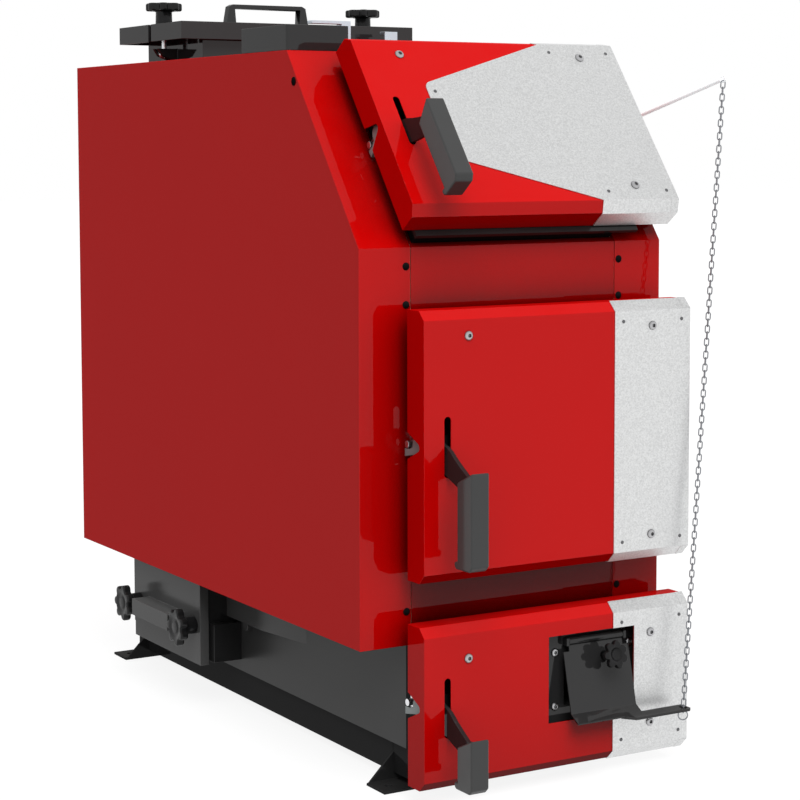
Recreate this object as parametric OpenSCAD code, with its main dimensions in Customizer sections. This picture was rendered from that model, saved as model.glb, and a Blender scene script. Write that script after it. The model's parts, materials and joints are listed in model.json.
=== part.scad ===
// Solid fuel boiler for a house: welded water-jacket body in a folded sheet casing, three
// insulated doors on right-hand hinges, a draught regulator with a chain to the air flap,
// a top cleaning hatch and a side cleaning hatch. X runs to the right, Y to the rear, Z up.

/* [Casing] */
// Width over the casing side panels
casing_w = 500; // [480:5:620]
// Depth of the casing from front to rear
casing_d = 980; // [940:5:1150]
// Height of the lower edge of the casing above the floor
casing_bottom = 211; // [205:1:225]
// Height where the upright front turns into the slope
crease_z = 755.5; // [750:0.5:790]
// Height of the casing top
casing_top = 1026; // [1015:1:1060]
// How far back the slope runs
slope_run = 203; // [195:1:215]
// Thickness of the casing sheet
sheet_t = 1.5; // [1:0.25:2]
// Width of the side panels' folds round the front
fold_w = 80; // [70:1:85]

/* [Boiler body] */
// Gap between the body side and the casing side
side_gap = 85; // [80:1:100]
// Gap between the body front and the casing front
front_gap = 22; // [18:1:30]
// Thickness of the water jacket with its two walls
jacket_t = 40; // [30:1:44]
// Height of the body's bottom plate
body_bottom = 60; // [56:1:64]
// Depth of the firebox behind the front plate
firebox_d = 396; // [350:2:420]
// Height of the grate's seat
grate_z = 226; // [222:1:232]

/* [Doors] */
// Gap from the casing's left side to the doors' left edge
door_inset = 60; // [50:1:66]
// How far the doors stand over the casing's right side
door_over = 3; // [0:0.5:4]
// Distance of the doors' outer face from the casing front
door_proj = 68; // [64:1:76]
// Depth of the doors' outer shells
shell_depth = 43.5; // [40:0.5:46]
// Chamfer on the shells' top and bottom edges
chamfer = 13; // [8:0.5:16]
// Height of the loading door on the slope
upper_h = 304; // [290:1:310]
// Height of the firebox door
middle_h = 367; // [340:1:375]
// Height of the ash door
lower_h = 224; // [215:1:228]
// Place of the loading door's centre up the slope
upper_s = 163; // [160:1:168]
// Height of the firebox door's centre
middle_z = 490.5; // [480:0.5:492]
// Height of the ash door's centre
lower_z = 135.5; // [135:0.5:140]
// Width of the bare metal cover plate on each door
cover_w = 132; // [120:1:140]

/* [Hatches] */
// Width of the top hatch's lid
lid_w = 426; // [400:2:440]
// Depth of the top hatch's lid
lid_d = 248; // [230:2:260]
// Height of the lid's top above the floor
lid_top = 1090; // [1080:1:1100]
// Width of the side hatch's lid along the body
side_lid_d = 255; // [240:1:270]
// Height of the side hatch's lid
side_lid_h = 132; // [120:1:134]
// Diameter of the star knobs
knob_d = 60; // [50:1:64]

/* [Draught regulator] */
// Diameter of the chain's wire
wire_d = 1.8; // [1.2:0.1:2.2]
// Inner length of one chain link
link_pitch = 9.5; // [8.5:0.5:12]
// Height of the regulator's centre
reg_z = 908; // [890:0.5:920]
// Distance of the regulator behind the casing front
reg_y = 240; // [220:1:260]
// Inner radius of the flue outlet
flue_r = 75; // [60:1:80]

/* [Hidden] */
$fn = 48;

cut = 1;             // overrun of every cut
seat = 0.3;          // gap between faces that part when something moves
run_fit = 0.05;      // radial clearance of shafts in their bores
weld_gap = 0.2;      // seam between plates that are welded to each other
seam = 0.8;          // open joint between neighbouring panels

// Outer box of the whole boiler, for the origin under its middle
knob_hub_h = 22;
knob_disc_t = 12.7;
side_lid_in = 19;    // the side lid's plate, inside the casing side
side_lid_x = casing_w/2 - side_lid_in;
side_knob_x = side_lid_x + seat + knob_hub_h + knob_disc_t;
dial_out = 111;      // the regulator dial's end, outside the casing side
dial_end_x = casing_w/2 + dial_out;
grip_out = 45;       // from the door face to the back of the grip
grip_d = 36;
grip_front = door_proj + grip_out + grip_d;
flue_len = 120;
mid_x = (dial_end_x - side_knob_x)/2;
mid_y = (casing_d + flue_len - grip_front)/2;

cw = casing_w/2;
bw = cw - side_gap;                  // half width of the welded body
fw = bw - jacket_t;                  // half width of the firebox
slope_a = atan2(casing_top - crease_z, slope_run);
body_top_in = 18;                    // from the casing top down to the body top
body_top = casing_top - body_top_in;
body_rear = casing_d - front_gap;
plate_t = 12;                        // front and inner walls of the body
fire_rear = front_gap + plate_t + firebox_d;
fire_top = body_top - jacket_t;
cavity_front = front_gap + plate_t;

// Y of the line that runs d inside the casing's slope, at height z
function slope_y(z, d) = d*sin(slope_a) + (z - crease_z + d*cos(slope_a))/tan(slope_a);
// Height where that line meets the upright line d inside the casing front
function bend_z(d) = crease_z - d*cos(slope_a) + d*(1 - sin(slope_a))*tan(slope_a);
// Side outline of the boiler, d inside the casing front and slope, as points (y, z)
function side_outline(d, bottom, top, rear) = [
  [d, bottom], [d, bend_z(d)], [slope_y(top, d), top], [rear, top], [rear, bottom]];

module place() translate([-mid_x, -mid_y, 0]) children();
module box(lo, hi) translate(lo) cube(hi - lo);
module prism_x(x0, x1, points)
  translate([x0, 0, 0]) rotate([90, 0, 90]) linear_extrude(x1 - x0) polygon(points);
module rod_x(x0, x1, y, z, r) translate([x0, y, z]) rotate([0, 90, 0]) cylinder(h = x1 - x0, r = r);
module rod_y(y0, y1, x, z, r) translate([x, y0, z]) rotate([-90, 0, 0]) cylinder(h = y1 - y0, r = r);
module rod_z(z0, z1, x, y, r) translate([x, y, z0]) cylinder(h = z1 - z0, r = r);
module rounded_rect(w, d, r) {
  translate([-w/2 + r, -d/2]) square([w - 2*r, d]);
  translate([-w/2, -d/2 + r]) square([w, d - 2*r]);
  for (sx = [-1, 1], sy = [-1, 1]) translate([sx*(w/2 - r), sy*(d/2 - r)]) circle(r);
}

// Base frame

foot_half = 200;     // half width over the feet
foot_h = 46;         // height of a foot's upright web
foot_flange = 50;    // width of a foot's flange on the floor
foot_t = 4;
foot_front_y = 72;   // web of the front foot
foot_hole_r = 5.5;
foot_hole_end = 20.4;                // hole centre from the foot's end
foot_hole_x = foot_half - foot_hole_end;
foot_hole_in = 26;   // hole centre from the web
rail_in = 8;
rail_x = bw - rail_in;               // outer face of the plinth rails
rail_bottom = 13;
foot_rear_in = 59;                   // rear foot's web from the casing rear
foot_rear_y = casing_d - foot_rear_in;
web_half = foot_t/2 + weld_gap;
// Plinth rail in three lengths, welded to both sides of the feet's webs, as (from y, to y)
rail_runs = [[front_gap, foot_front_y - web_half], [foot_front_y + web_half, foot_rear_y - web_half],
             [foot_rear_y + web_half, body_rear]];

module foot(y, dir) {
  // bent plate with its upright web; dir is the way the flange points: -1 forwards, 1 rearwards
  difference() {
    union() {
      translate([0, y, 0]) rotate([90, 0, 0]) translate([0, 0, -foot_t/2]) linear_extrude(foot_t)
        polygon([[-foot_half, 0], [foot_half, 0], [foot_half - foot_h, foot_h],
                 [-foot_half + foot_h, foot_h]]);
      box([-rail_x, y - foot_t/2, foot_t], [rail_x, y + foot_t/2, body_bottom]);
      box([-foot_half, dir < 0 ? y - foot_flange : y, 0],
          [foot_half, dir < 0 ? y : y + foot_flange, foot_t]);
    }
    for (sx = [-1, 1])
      rod_z(-cut, foot_t + cut, sx*foot_hole_x, y + dir*foot_hole_in, foot_hole_r);
  }
}

module base_frame() {
  color([0.13, 0.13, 0.14]) place() {
    foot(foot_front_y, -1);
    foot(foot_rear_y, 1);
    for (sx = [-1, 1], run = rail_runs)
      box([sx < 0 ? -rail_x : rail_x - foot_t, run[0], rail_bottom],
          [sx < 0 ? -rail_x + foot_t : rail_x, run[1], body_bottom]);
    for (y = [front_gap, body_rear - foot_t])
      box([-rail_x + foot_t + weld_gap, y, rail_bottom],
          [rail_x - foot_t - weld_gap, y + foot_t, body_bottom]);
  }
}

// Welded body with its openings

floor_t = 15;
ash_floor = body_bottom + floor_t;
wall_y = 10;                         // wall between the firebox and the flue passes
rear_cavity_y = fire_rear + wall_y;
rear_cavity_end = body_rear - jacket_t;
open_half = [125, 145, 60];          // half heights of the door openings, top to bottom
ledge_w = 25;
ledge_h = 12;
smoke_gap_h = 108;                   // height of the smoke window in the inner wall
smoke_gap_z = fire_top - smoke_gap_h;
side_open_h = [85, 195];             // lower and upper edge of the side hatch's opening
side_mid_in = 305;                   // middle of the side hatch, from the casing rear
side_mid_y = casing_d - side_mid_in;
hatch_mid_in = 223;                  // middle of the top hatch, from the casing rear
hatch_mid_y = casing_d - hatch_mid_in;
side_neck_in = 5;                    // the side neck, inside the lid's edge
side_neck_half = side_lid_d/2 - side_neck_in;
flue_down = 146;                     // flue's middle below the casing top
flue_z = casing_top - flue_down;
flue_step = 2;                       // the flue narrows inwards of its socket by so much
flue_in_r = flue_r - flue_step;
flue_socket = 30;                    // depth of the socket for the flue pipe
collar_more = [6, -22, -74];         // height of the collars over that of the doors
collar_h = [upper_h + collar_more[0], middle_h + collar_more[1], lower_h + collar_more[2]];
collar_t = 6;
neck_in_x = 45;                      // the top neck, inside the lid's edges
neck_half_x = lid_w/2 - neck_in_x;
neck_in_y = 17;
neck_half_y = lid_d/2 - neck_in_y;
neck_t = 5;
well_r = 12;                         // regulator's well in the jacket

module door_frame(i) {
  if (i == 0)
    translate([0, 0, crease_z]) rotate([slope_a - 90, 0, 0]) translate([0, 0, upper_s]) children();
  if (i == 1) translate([0, 0, middle_z]) children();
  if (i == 2) translate([0, 0, lower_z]) children();
}

inner = fw - weld_gap;               // half width of the plates between the side walls

// Point d inside the casing's slope and up it by the way t, as (y, z)
function slope_point(t, d) = [
  t*cos(slope_a) + d*sin(slope_a), crease_z + t*sin(slope_a) - d*cos(slope_a)];
// The bend of the front plate's line d inside the casing, as (y, z)
function bend_point(d) = [d, bend_z(d)];

module door_opening(i)
  door_frame(i) box([-fw, 0, -open_half[i]], [fw, cavity_front + cut, open_half[i]]);

module jacket_side(sx)
  prism_x(sx < 0 ? -bw : fw, sx < 0 ? -fw : bw,
          side_outline(front_gap, body_bottom, body_top, body_rear));

module front_plates() {
  // upright front plate, cut into strips by the doors' openings, and the strip on the slope
  upper_strip = lower_z + open_half[2];
  box([-inner, front_gap, upper_strip], [inner, cavity_front, middle_z - open_half[1]]);
  prism_x(-inner, inner, [
    [front_gap, middle_z + open_half[1]], [cavity_front, middle_z + open_half[1]],
    bend_point(cavity_front) - [0, weld_gap], bend_point(front_gap) - [0, weld_gap]]);
  prism_x(-inner, inner, [
    bend_point(front_gap), bend_point(cavity_front),
    slope_point(upper_s - open_half[0], cavity_front), slope_point(upper_s - open_half[0], front_gap)]);
}

module grate_ledges() {
  for (sx = [-1, 1]) box([sx < 0 ? -inner : fw - ledge_w, cavity_front + weld_gap, grate_z],
                         [sx < 0 ? -fw + ledge_w : inner, fire_rear - weld_gap, grate_z + ledge_h]);
  for (y = [cavity_front + weld_gap, fire_rear - ledge_w])
    box([-fw + ledge_w + weld_gap, y, grate_z],
        [fw - ledge_w - weld_gap, y + ledge_w - weld_gap, grate_z + ledge_h]);
}

module boiler_body() {
  hatch_y = neck_half_y - neck_t;
  color([0.28, 0.28, 0.29]) place() {
    difference() {
      jacket_side(-1);
      box([-bw - cut, side_mid_y - side_neck_half + 2*neck_t, side_open_h[0]],
          [-fw + cut, side_mid_y + side_neck_half - 2*neck_t, side_open_h[1]]);
    }
    difference() {
      jacket_side(1);
      rod_x(bw - jacket_t/2, bw + cut, reg_y, reg_z, well_r);
    }
    box([-inner, front_gap, body_bottom], [inner, body_rear, ash_floor]);
    front_plates();
    grate_ledges();
    // the wall between the firebox and the flue passes, with the smoke window above it
    box([-inner, fire_rear, ash_floor + weld_gap], [inner, rear_cavity_y, smoke_gap_z]);
    difference() {
      box([-inner, rear_cavity_end, ash_floor + weld_gap], [inner, body_rear, fire_top - weld_gap]);
      rod_y(rear_cavity_end - cut, body_rear + cut, 0, flue_z, flue_in_r);
    }
    // roof of the jacket, ahead of the top hatch and behind it
    difference() {
      prism_x(-inner, inner, [
        [slope_y(fire_top, front_gap), fire_top], [slope_y(body_top, front_gap), body_top],
        [hatch_mid_y - hatch_y, body_top], [hatch_mid_y - hatch_y, fire_top]]);
      door_opening(0);
    }
    box([-inner, hatch_mid_y + hatch_y, fire_top], [inner, body_rear, body_top]);
  }
}

exch_front = rear_cavity_y;
exch_behind = 151;                   // room behind the exchanger, below the flue
pass_wall = 18;
passes = 3;
exch_up = 84;                        // foot of the exchanger above the grate's seat
exch_down = 48;                      // its top below the roof of the smoke passage
exch_bottom = grate_z + exch_up;
exch_top = fire_top - exch_down;
exch_d = rear_cavity_end - exch_behind - exch_front;
pass_d = (exch_d - (passes + 1)*pass_wall)/passes;

module heat_exchanger() {
  color([0.42, 0.42, 0.43]) place() difference() {
    box([-fw, exch_front, exch_bottom], [fw, exch_front + exch_d, exch_top]);
    for (k = [0:passes - 1])
      box([-fw + pass_wall, exch_front + pass_wall + k*(pass_d + pass_wall), exch_bottom - cut],
          [fw - pass_wall, exch_front + (k + 1)*(pass_d + pass_wall), exch_top + cut]);
  }
}

collar_out = 14;                     // how far the collars stand out of the casing

module door_collars() {
  color([0.1, 0.1, 0.11]) place() for (i = [0:2]) door_frame(i) difference() {
    box([-bw, -collar_out, -collar_h[i]/2], [bw, front_gap, collar_h[i]/2]);
    box([-bw + collar_t, -collar_out - cut, -collar_h[i]/2 + collar_t],
        [bw - collar_t, front_gap + cut, collar_h[i]/2 - collar_t]);
  }
}

brick_t = 28;
brick_h = 182;
brick_top = grate_z + ledge_h + brick_h;
bricks = 3;
brick_gap = 1;

module firebricks() {
  pitch = (firebox_d - brick_gap)/bricks;
  color([0.72, 0.62, 0.5]) place() for (sx = [-1, 1], k = [0:bricks - 1]) {
    y = cavity_front + brick_gap + k*pitch;
    box([sx < 0 ? -fw : fw - brick_t, y, grate_z + ledge_h],
        [sx < 0 ? -fw + brick_t : fw, y + pitch - brick_gap, brick_top]);
  }
}

bar_top = 15;
bar_low = 8;
bar_h = 22;
bar_pitch = 22;
bar_play = 3;

module grate_bars() {
  count = floor(2*(fw - brick_t - bar_top/2)/bar_pitch/2);
  color([0.2, 0.19, 0.18]) place() for (k = [-count:count])
    translate([k*bar_pitch, fire_rear - bar_play, grate_z + ledge_h]) rotate([90, 0, 0])
      linear_extrude(firebox_d - 2*bar_play)
        polygon([[-bar_low/2, 0], [bar_low/2, 0], [bar_top/2, bar_h/2], [bar_top/2, bar_h],
                 [-bar_top/2, bar_h], [-bar_top/2, bar_h/2]]);
}

pan_t = 2;
pan_h = 72;
pan_side_gap = 20;
pan_front_gap = 14;
pan_half = fw - pan_side_gap;
pan_front = cavity_front + pan_front_gap;
pan_rear = fire_rear - pan_side_gap;
pan_grip_r = 4;
pan_grip_out = 10;

module ash_pan() {
  color([0.35, 0.35, 0.36]) place() {
    difference() {
      box([-pan_half, pan_front, ash_floor], [pan_half, pan_rear, ash_floor + pan_h]);
      box([-pan_half + pan_t, pan_front + pan_t, ash_floor + pan_t],
          [pan_half - pan_t, pan_rear - pan_t, ash_floor + pan_h + cut]);
    }
    for (sx = [-1, 1])
      rod_y(pan_front - pan_grip_out, pan_front, sx*pan_half/3, ash_floor + pan_h/2, pan_grip_r);
    rod_x(-pan_half/3 - pan_grip_r, pan_half/3 + pan_grip_r, pan_front - pan_grip_out,
          ash_floor + pan_h/2, pan_grip_r);
  }
}

// Casing

socket_in = 33;                      // pipes from the body's sides
socket_x = bw - socket_in;
flow_down = 70;                      // flow pipe below the casing top
return_up = 89;                      // return pipe above the casing's lower edge
flow_z = casing_top - flow_down;
return_z = casing_bottom + return_up;
socket_r = 24;
socket_bore = 20.5;
socket_out = 28;                     // how far the pipes stand out of the rear panel
socket_len = casing_d + socket_out;
flue_wall = 4;
flue_out_r = flue_r + flue_wall;
hole_gap = 3;

module rear_holes() {
  rod_y(body_rear - cut, casing_d + cut, 0, flue_z, flue_out_r + hole_gap);
  for (z = [flow_z, return_z]) rod_y(body_rear - cut, casing_d + cut, socket_x, z, socket_r + hole_gap);
}

module insulation() {
  inner = cw - sheet_t;
  color([0.75, 0.72, 0.6]) place() {
    for (sx = [-1, 1]) difference() {
      prism_x(sx < 0 ? -inner : bw, sx < 0 ? -bw : inner,
              side_outline(sheet_t, casing_bottom, body_top, casing_d - sheet_t));
      if (sx > 0) rod_x(bw - cut, cw + cut, reg_y, reg_z, well_r + 2*hole_gap);
      screw_places() rod_y(-cut, 2*sheet_t + cut, 0, 0, screw_shank_r + seat);
    }
    difference() {
      box([-bw, body_rear, casing_bottom], [bw, casing_d - sheet_t, body_top]);
      rear_holes();
    }
  }
}

module side_casing(sx) {
  x0 = sx < 0 ? -cw : cw - fold_w;
  x1 = sx < 0 ? -cw + fold_w : cw;
  y_in = sx < 0 ? x0 + sheet_t : x0 - cut;
  y_out = sx < 0 ? x1 + cut : x1 - sheet_t;
  difference() {
    prism_x(x0, x1, side_outline(0, casing_bottom, casing_top, casing_d));
    prism_x(y_in, y_out,
            side_outline(sheet_t, casing_bottom - cut, casing_top + cut, casing_d + cut));
  }
}

side_hole_r = 3.5;
side_hole_in = [21, 44];             // small hole, ahead of the slope's end and below the top
side_hole_y = slope_run - side_hole_in[0];
side_hole_z = casing_top - side_hole_in[1];

module left_casing() {
  color([0.62, 0.1, 0.1]) place() difference() {
    side_casing(-1);
    rod_x(-cw - cut, -cw + 2*cut, side_hole_y, side_hole_z, side_hole_r);
    screw_places() rod_y(-cut, 2*cut + sheet_t, 0, 0, screw_shank_r + run_fit);
  }
}

module right_casing() {
  color([0.62, 0.1, 0.1]) place() difference() {
    side_casing(1);
    rod_x(cw - 2*sheet_t, cw + cut, reg_y, reg_z, well_r + 2*hole_gap);
    screw_places() rod_y(-cut, 2*cut + sheet_t, 0, 0, screw_shank_r + run_fit);
  }
}

module front_panels() {
  half = cw - fold_w - seam;
  color([0.75, 0.12, 0.12]) place() difference() {
    prism_x(-half, half, side_outline(0, casing_bottom, casing_top, slope_run + cw));
    prism_x(-half - cut, half + cut,
            side_outline(sheet_t, casing_bottom - cut, casing_top + cut, slope_run + cw + cut));
    for (i = [0:2]) door_frame(i)
      box([-bw - seam, -plate_t, -collar_h[i]/2 - seam], [bw + seam, plate_t, collar_h[i]/2 + seam]);
  }
}

module top_panel() {
  color([0.62, 0.1, 0.1]) place() difference() {
    box([-cw + sheet_t, slope_y(casing_top, sheet_t), casing_top - sheet_t],
        [cw - sheet_t, casing_d - sheet_t, casing_top]);
    box([-neck_half_x - hole_gap, hatch_mid_y - neck_half_y - hole_gap, body_top],
        [neck_half_x + hole_gap, hatch_mid_y + neck_half_y + hole_gap, casing_top + cut]);
  }
}

module rear_panel() {
  color([0.62, 0.1, 0.1]) place() difference() {
    box([-cw + sheet_t, casing_d - sheet_t, casing_bottom], [cw - sheet_t, casing_d, casing_top]);
    rear_holes();
  }
}

screw_shank_r = 2.5;
screw_head_r = 5.5;
screw_head_t = 3;
screw_in = 73;
screw_down = [25.5, 77.5];           // upper screws below the crease
screw_up = 47;                       // lowest screw above the casing's lower edge
screw_x = cw - screw_in;
screw_z = [crease_z - screw_down[0], crease_z - screw_down[1], casing_bottom + screw_up];

module screw_places()
  for (sx = [-1, 1], z = screw_z) translate([sx*screw_x, 0, z]) children();

module button_head(r, t) {
  // domed head on the outer side, with its centre on the panel face
  ball = (r*r + t*t)/(2*t);
  rotate([90, 0, 0]) intersection() {
    translate([0, 0, t - ball]) sphere(ball);
    cylinder(h = t, r = r);
  }
}

module casing_screws() {
  color([0.08, 0.08, 0.08]) place() screw_places() union() {
    button_head(screw_head_r, screw_head_t);
    rod_y(-screw_head_t/3, 2*sheet_t, 0, 0, screw_shank_r);
  }
}

// Hinges and keepers

hinge_in = 4;
hinge_x = cw - hinge_in;
hinge_y = -12;
pin_r = 5;
barrel_r = 8;
barrel_h = 22;
barrel_in_share = 0.31;              // place of the hinges up and down the door
lug_t = 6;
door_x0 = -cw + door_inset;
door_x1 = cw + door_over;
door_h = [upper_h, middle_h, lower_h];
leaf_t = 6;
leaf_gap = 4;
leaf_back = -collar_out - leaf_gap;  // rear face of a door leaf
leaf_front = leaf_back - leaf_t;

// Heights of the two hinges of door i, from the door's centre
function hinge_zs(i) = [-barrel_in_share*collar_h[i], barrel_in_share*collar_h[i]];

module hinge_brackets() {
  color([0.12, 0.12, 0.13]) place() for (i = [0:2]) door_frame(i) for (z = hinge_zs(i)) union() {
    for (s = [-1, 1]) {
      z0 = z + (s < 0 ? -1.5*barrel_h - seat : barrel_h/2 + seat);
      rod_z(z0, z0 + barrel_h, hinge_x, hinge_y, barrel_r);
      box([bw, hinge_y + barrel_r - lug_t, z0], [hinge_x, hinge_y + barrel_r, z0 + barrel_h]);
    }
    rod_z(z - barrel_h, z + barrel_h, hinge_x, hinge_y, pin_r);
  }
}

keeper_r = 5;
keeper_t = 6;
keeper_half = 14;
keeper_y = -12;
latch_in = 30;                       // latch shaft behind the door face
latch_y = -door_proj + latch_in;
hook_in = 7;                         // hook from the door's left edge
hook_x0 = door_x0 + hook_in;
hook_t = 6;

module door_keepers() {
  // a plate on the body's side and the round bar that the latch hooks under
  color([0.72, 0.72, 0.74]) place() for (i = [0:2]) door_frame(i) {
    box([-bw - keeper_t, -collar_out, -keeper_half], [-bw, 0, keeper_half]);
    rod_x(hook_x0 - 2*seat, -bw - keeper_t - weld_gap, keeper_y, 0, keeper_r);
  }
}

// Flue and pipes

module flue_collar() {
  color([0.12, 0.12, 0.13]) place() difference() {
    union() {
      rod_y(body_rear, casing_d + flue_len, 0, flue_z, flue_out_r);
      rod_y(body_rear, body_rear + plate_t/2, 0, flue_z, flue_out_r + hole_gap - seat);
      rod_y(casing_d + flue_len - plate_t, casing_d + flue_len, 0, flue_z, flue_out_r + hole_gap/2);
    }
    rod_y(body_rear - cut, casing_d + flue_len + cut, 0, flue_z, flue_in_r);
    rod_y(casing_d + flue_len - flue_socket, casing_d + flue_len + cut, 0, flue_z, flue_r);
    rod_x(-flue_out_r - cut, flue_out_r + cut, damper_y, flue_z, damper_rod + run_fit);
  }
}

damper_y = casing_d + 12;            // damper's shaft just behind the rear panel
damper_gap = 1.5;
damper_t = 3;
damper_rod = 5;
damper_boss = 9;
damper_out = 20;
damper_lever = [70, 14, 5];          // length, width and thickness of the damper's hand lever

module flue_damper() {
  // disc across the flue, here turned in line with the smoke, with its hand lever on the left
  x0 = -flue_out_r - damper_out;
  color([0.3, 0.3, 0.31]) place() translate([0, damper_y, flue_z]) union() {
    translate([0, 0, -damper_t/2]) cylinder(h = damper_t, r = flue_in_r - damper_gap);
    rod_x(x0, flue_r + flue_wall + damper_rod, 0, 0, damper_rod);
    rod_x(x0 - damper_lever[2], x0, 0, 0, damper_boss);
    box([x0 - damper_lever[2], 0, -damper_lever[1]/2], [x0, damper_lever[0], damper_lever[1]/2]);
  }
}

drain_r = 13;
drain_bore = 9.5;
drain_down = 91;
drain_z = casing_bottom - drain_down;

module pipe_sockets() {
  color([0.12, 0.12, 0.13]) place() {
    for (z = [flow_z, return_z]) difference() {
      rod_y(body_rear, socket_len, socket_x, z, socket_r);
      rod_y(body_rear + plate_t, socket_len + cut, socket_x, z, socket_bore);
    }
    difference() {
      rod_y(body_rear, casing_d, -socket_x, drain_z, drain_r);
      rod_y(body_rear + plate_t/2, casing_d + cut, -socket_x, drain_z, drain_bore);
    }
  }
}

// Top hatch

lid_t = 4;
lid_lip = 28;
bolt_in = 26;
bolt_x = lid_w/2 - bolt_in;
bolt_r = 4;
pivot_up = 17;
pivot_z = casing_top + pivot_up;
ear_t = 6;
ear_gap = 11;                        // between the two ears of a pair
slot_w = 11;
ear_reach = 16;

module ear(sx) {
  // one pair of gussets that carries a swing bolt's pivot pin
  for (sy = [-1, 1]) {
    y = hatch_mid_y + sy*(ear_gap/2 + ear_t/2);
    translate([0, y + ear_t/2, 0]) rotate([90, 0, 0]) linear_extrude(ear_t) polygon([
      [sx*neck_half_x, casing_top + 2*sheet_t], [sx*(bolt_x + 2*bolt_r), pivot_z - bolt_r],
      [sx*(bolt_x + ear_reach), pivot_z + 2*bolt_r], [sx*neck_half_x, pivot_z + 2*bolt_r]]);
  }
  rod_y(hatch_mid_y - ear_gap/2 - ear_t, hatch_mid_y + ear_gap/2 + ear_t, sx*bolt_x, pivot_z, bolt_r);
}

module top_hatch_neck() {
  color([0.2, 0.2, 0.21]) place() union() {
    difference() {
      box([-neck_half_x, hatch_mid_y - neck_half_y, body_top],
          [neck_half_x, hatch_mid_y + neck_half_y, lid_top - lid_t]);
      box([-neck_half_x + neck_t, hatch_mid_y - neck_half_y + neck_t, body_top - cut],
          [neck_half_x - neck_t, hatch_mid_y + neck_half_y - neck_t, lid_top]);
    }
    for (sx = [-1, 1]) ear(sx);
  }
}

module top_lid() {
  half_x = lid_w/2;
  half_y = lid_d/2;
  color([0.2, 0.2, 0.21]) place() translate([0, hatch_mid_y, 0]) difference() {
    box([-half_x, -half_y, lid_top - lid_lip], [half_x, half_y, lid_top]);
    box([-half_x + lid_t, -half_y + lid_t, lid_top - lid_lip - cut],
        [half_x - lid_t, half_y - lid_t, lid_top - lid_t]);
    for (sx = [-1, 1]) {
      box([sx < 0 ? -half_x - cut : bolt_x, -slot_w/2, lid_top - lid_lip - cut],
          [sx < 0 ? -bolt_x : half_x + cut, slot_w/2, lid_top + cut]);
      rod_z(lid_top - lid_lip, lid_top + cut, sx*bolt_x, 0, slot_w/2);
    }
  }
}

bail_x = 68;
bail_h = 37;
bail_bar = 7;
bail_foot = 19;
bail_depth = 16;

module lid_handle() {
  top = lid_top + bail_h;
  color([0.16, 0.16, 0.17]) place() translate([0, hatch_mid_y + bail_depth/2, 0]) rotate([90, 0, 0])
    linear_extrude(bail_depth) union() {
      for (sx = [-1, 1]) polygon([
        [sx*(bail_x + bail_foot/2), lid_top], [sx*(bail_x + bail_bar/2), top - bail_bar/2],
        [sx*(bail_x - bail_bar/2), top], [sx*(bail_x - bail_bar), top - bail_bar],
        [sx*(bail_x - bail_foot/2), lid_top]]);
      polygon([[-bail_x + bail_bar/2, top], [bail_x - bail_bar/2, top],
               [bail_x - bail_bar, top - bail_bar], [-bail_x + bail_bar, top - bail_bar]]);
    }
}

bolt_top = lid_top + knob_hub_h/2;
eye_r = 8;

module swing_bolts() {
  color([0.78, 0.78, 0.8]) place() for (sx = [-1, 1]) translate([sx*bolt_x, hatch_mid_y, 0]) difference() {
    union() {
      rod_y(-ear_gap/2 + seat, ear_gap/2 - seat, 0, pivot_z, eye_r);
      rod_z(pivot_z, bolt_top, 0, 0, bolt_r);
    }
    rod_y(-ear_gap, ear_gap, 0, pivot_z, bolt_r + run_fit);
  }
}

knob_hub_r = 13.5;
lobes = 7;
lobe_share = 0.2;
dish_share = 0.8;                    // recess in the knob's end, of its hub
dish_d = 2.5;

module lobed_disc(r, lobe) {
  circle(r - lobe);
  for (k = [0:lobes - 1]) rotate(k*360/lobes) translate([r - lobe, 0]) circle(lobe);
}

module star_knob() {
  // stands on z = 0 with its bore open below; a lobed disc on a round hub
  r = knob_d/2;
  lobe = lobe_share*r;
  difference() {
    union() {
      cylinder(h = knob_hub_h + knob_disc_t/2, r = knob_hub_r);
      translate([0, 0, knob_hub_h]) linear_extrude(knob_disc_t) lobed_disc(r, lobe);
    }
    translate([0, 0, -cut]) cylinder(h = knob_hub_h/2 + bolt_r + cut, r = bolt_r + run_fit);
    translate([0, 0, knob_hub_h + knob_disc_t - dish_d])
      cylinder(h = knob_disc_t, r = knob_hub_r*dish_share);
  }
}

module top_knob(sx) color([0.16, 0.16, 0.17]) place()
  translate([sx*bolt_x, hatch_mid_y, lid_top + seat]) star_knob();

box_w = 100;
box_d = 149;
box_h = 36;
box_r = 6;

module top_cover_box() {
  color([0.2, 0.2, 0.21]) place()
    translate([-cw + sheet_t + box_w/2, slope_run + box_d/2, casing_top]) difference() {
      linear_extrude(box_h) rounded_rect(box_w, box_d, box_r);
      translate([0, 0, -cut]) linear_extrude(box_h - sheet_t + cut)
        rounded_rect(box_w - 2*sheet_t, box_d - 2*sheet_t, box_r - sheet_t);
    }
}

strap_t = 5;
strap_w = 17;
strap_arm = 71;
strap_h = 68;
strap_ahead = 50;                    // bracket ahead of the lid's edge
strap_y = hatch_mid_y - lid_d/2 - strap_ahead;
clip_w = 24;
clip_h = 53;

module top_brackets() {
  color([0.75, 0.75, 0.78]) place() {
    union() {
      box([-strap_t, strap_y, casing_top + strap_h - strap_t], [strap_arm - strap_t, strap_y + strap_w,
          casing_top + strap_h]);
      box([strap_arm - strap_t - strap_w, strap_y, casing_top], [strap_arm - strap_t,
          strap_y + strap_w, casing_top + strap_h]);
    }
    difference() {
      box([2*strap_arm - strap_w + strap_t, strap_y, casing_top],
          [2*strap_arm - strap_w + strap_t + clip_w, strap_y + strap_w, casing_top + clip_h]);
      box([2*strap_arm - strap_w, strap_y + strap_t, casing_top + strap_t],
          [2*strap_arm + clip_w, strap_y + strap_w + cut, casing_top + clip_h - strap_t]);
    }
  }
}

// Side hatch and air duct

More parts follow.
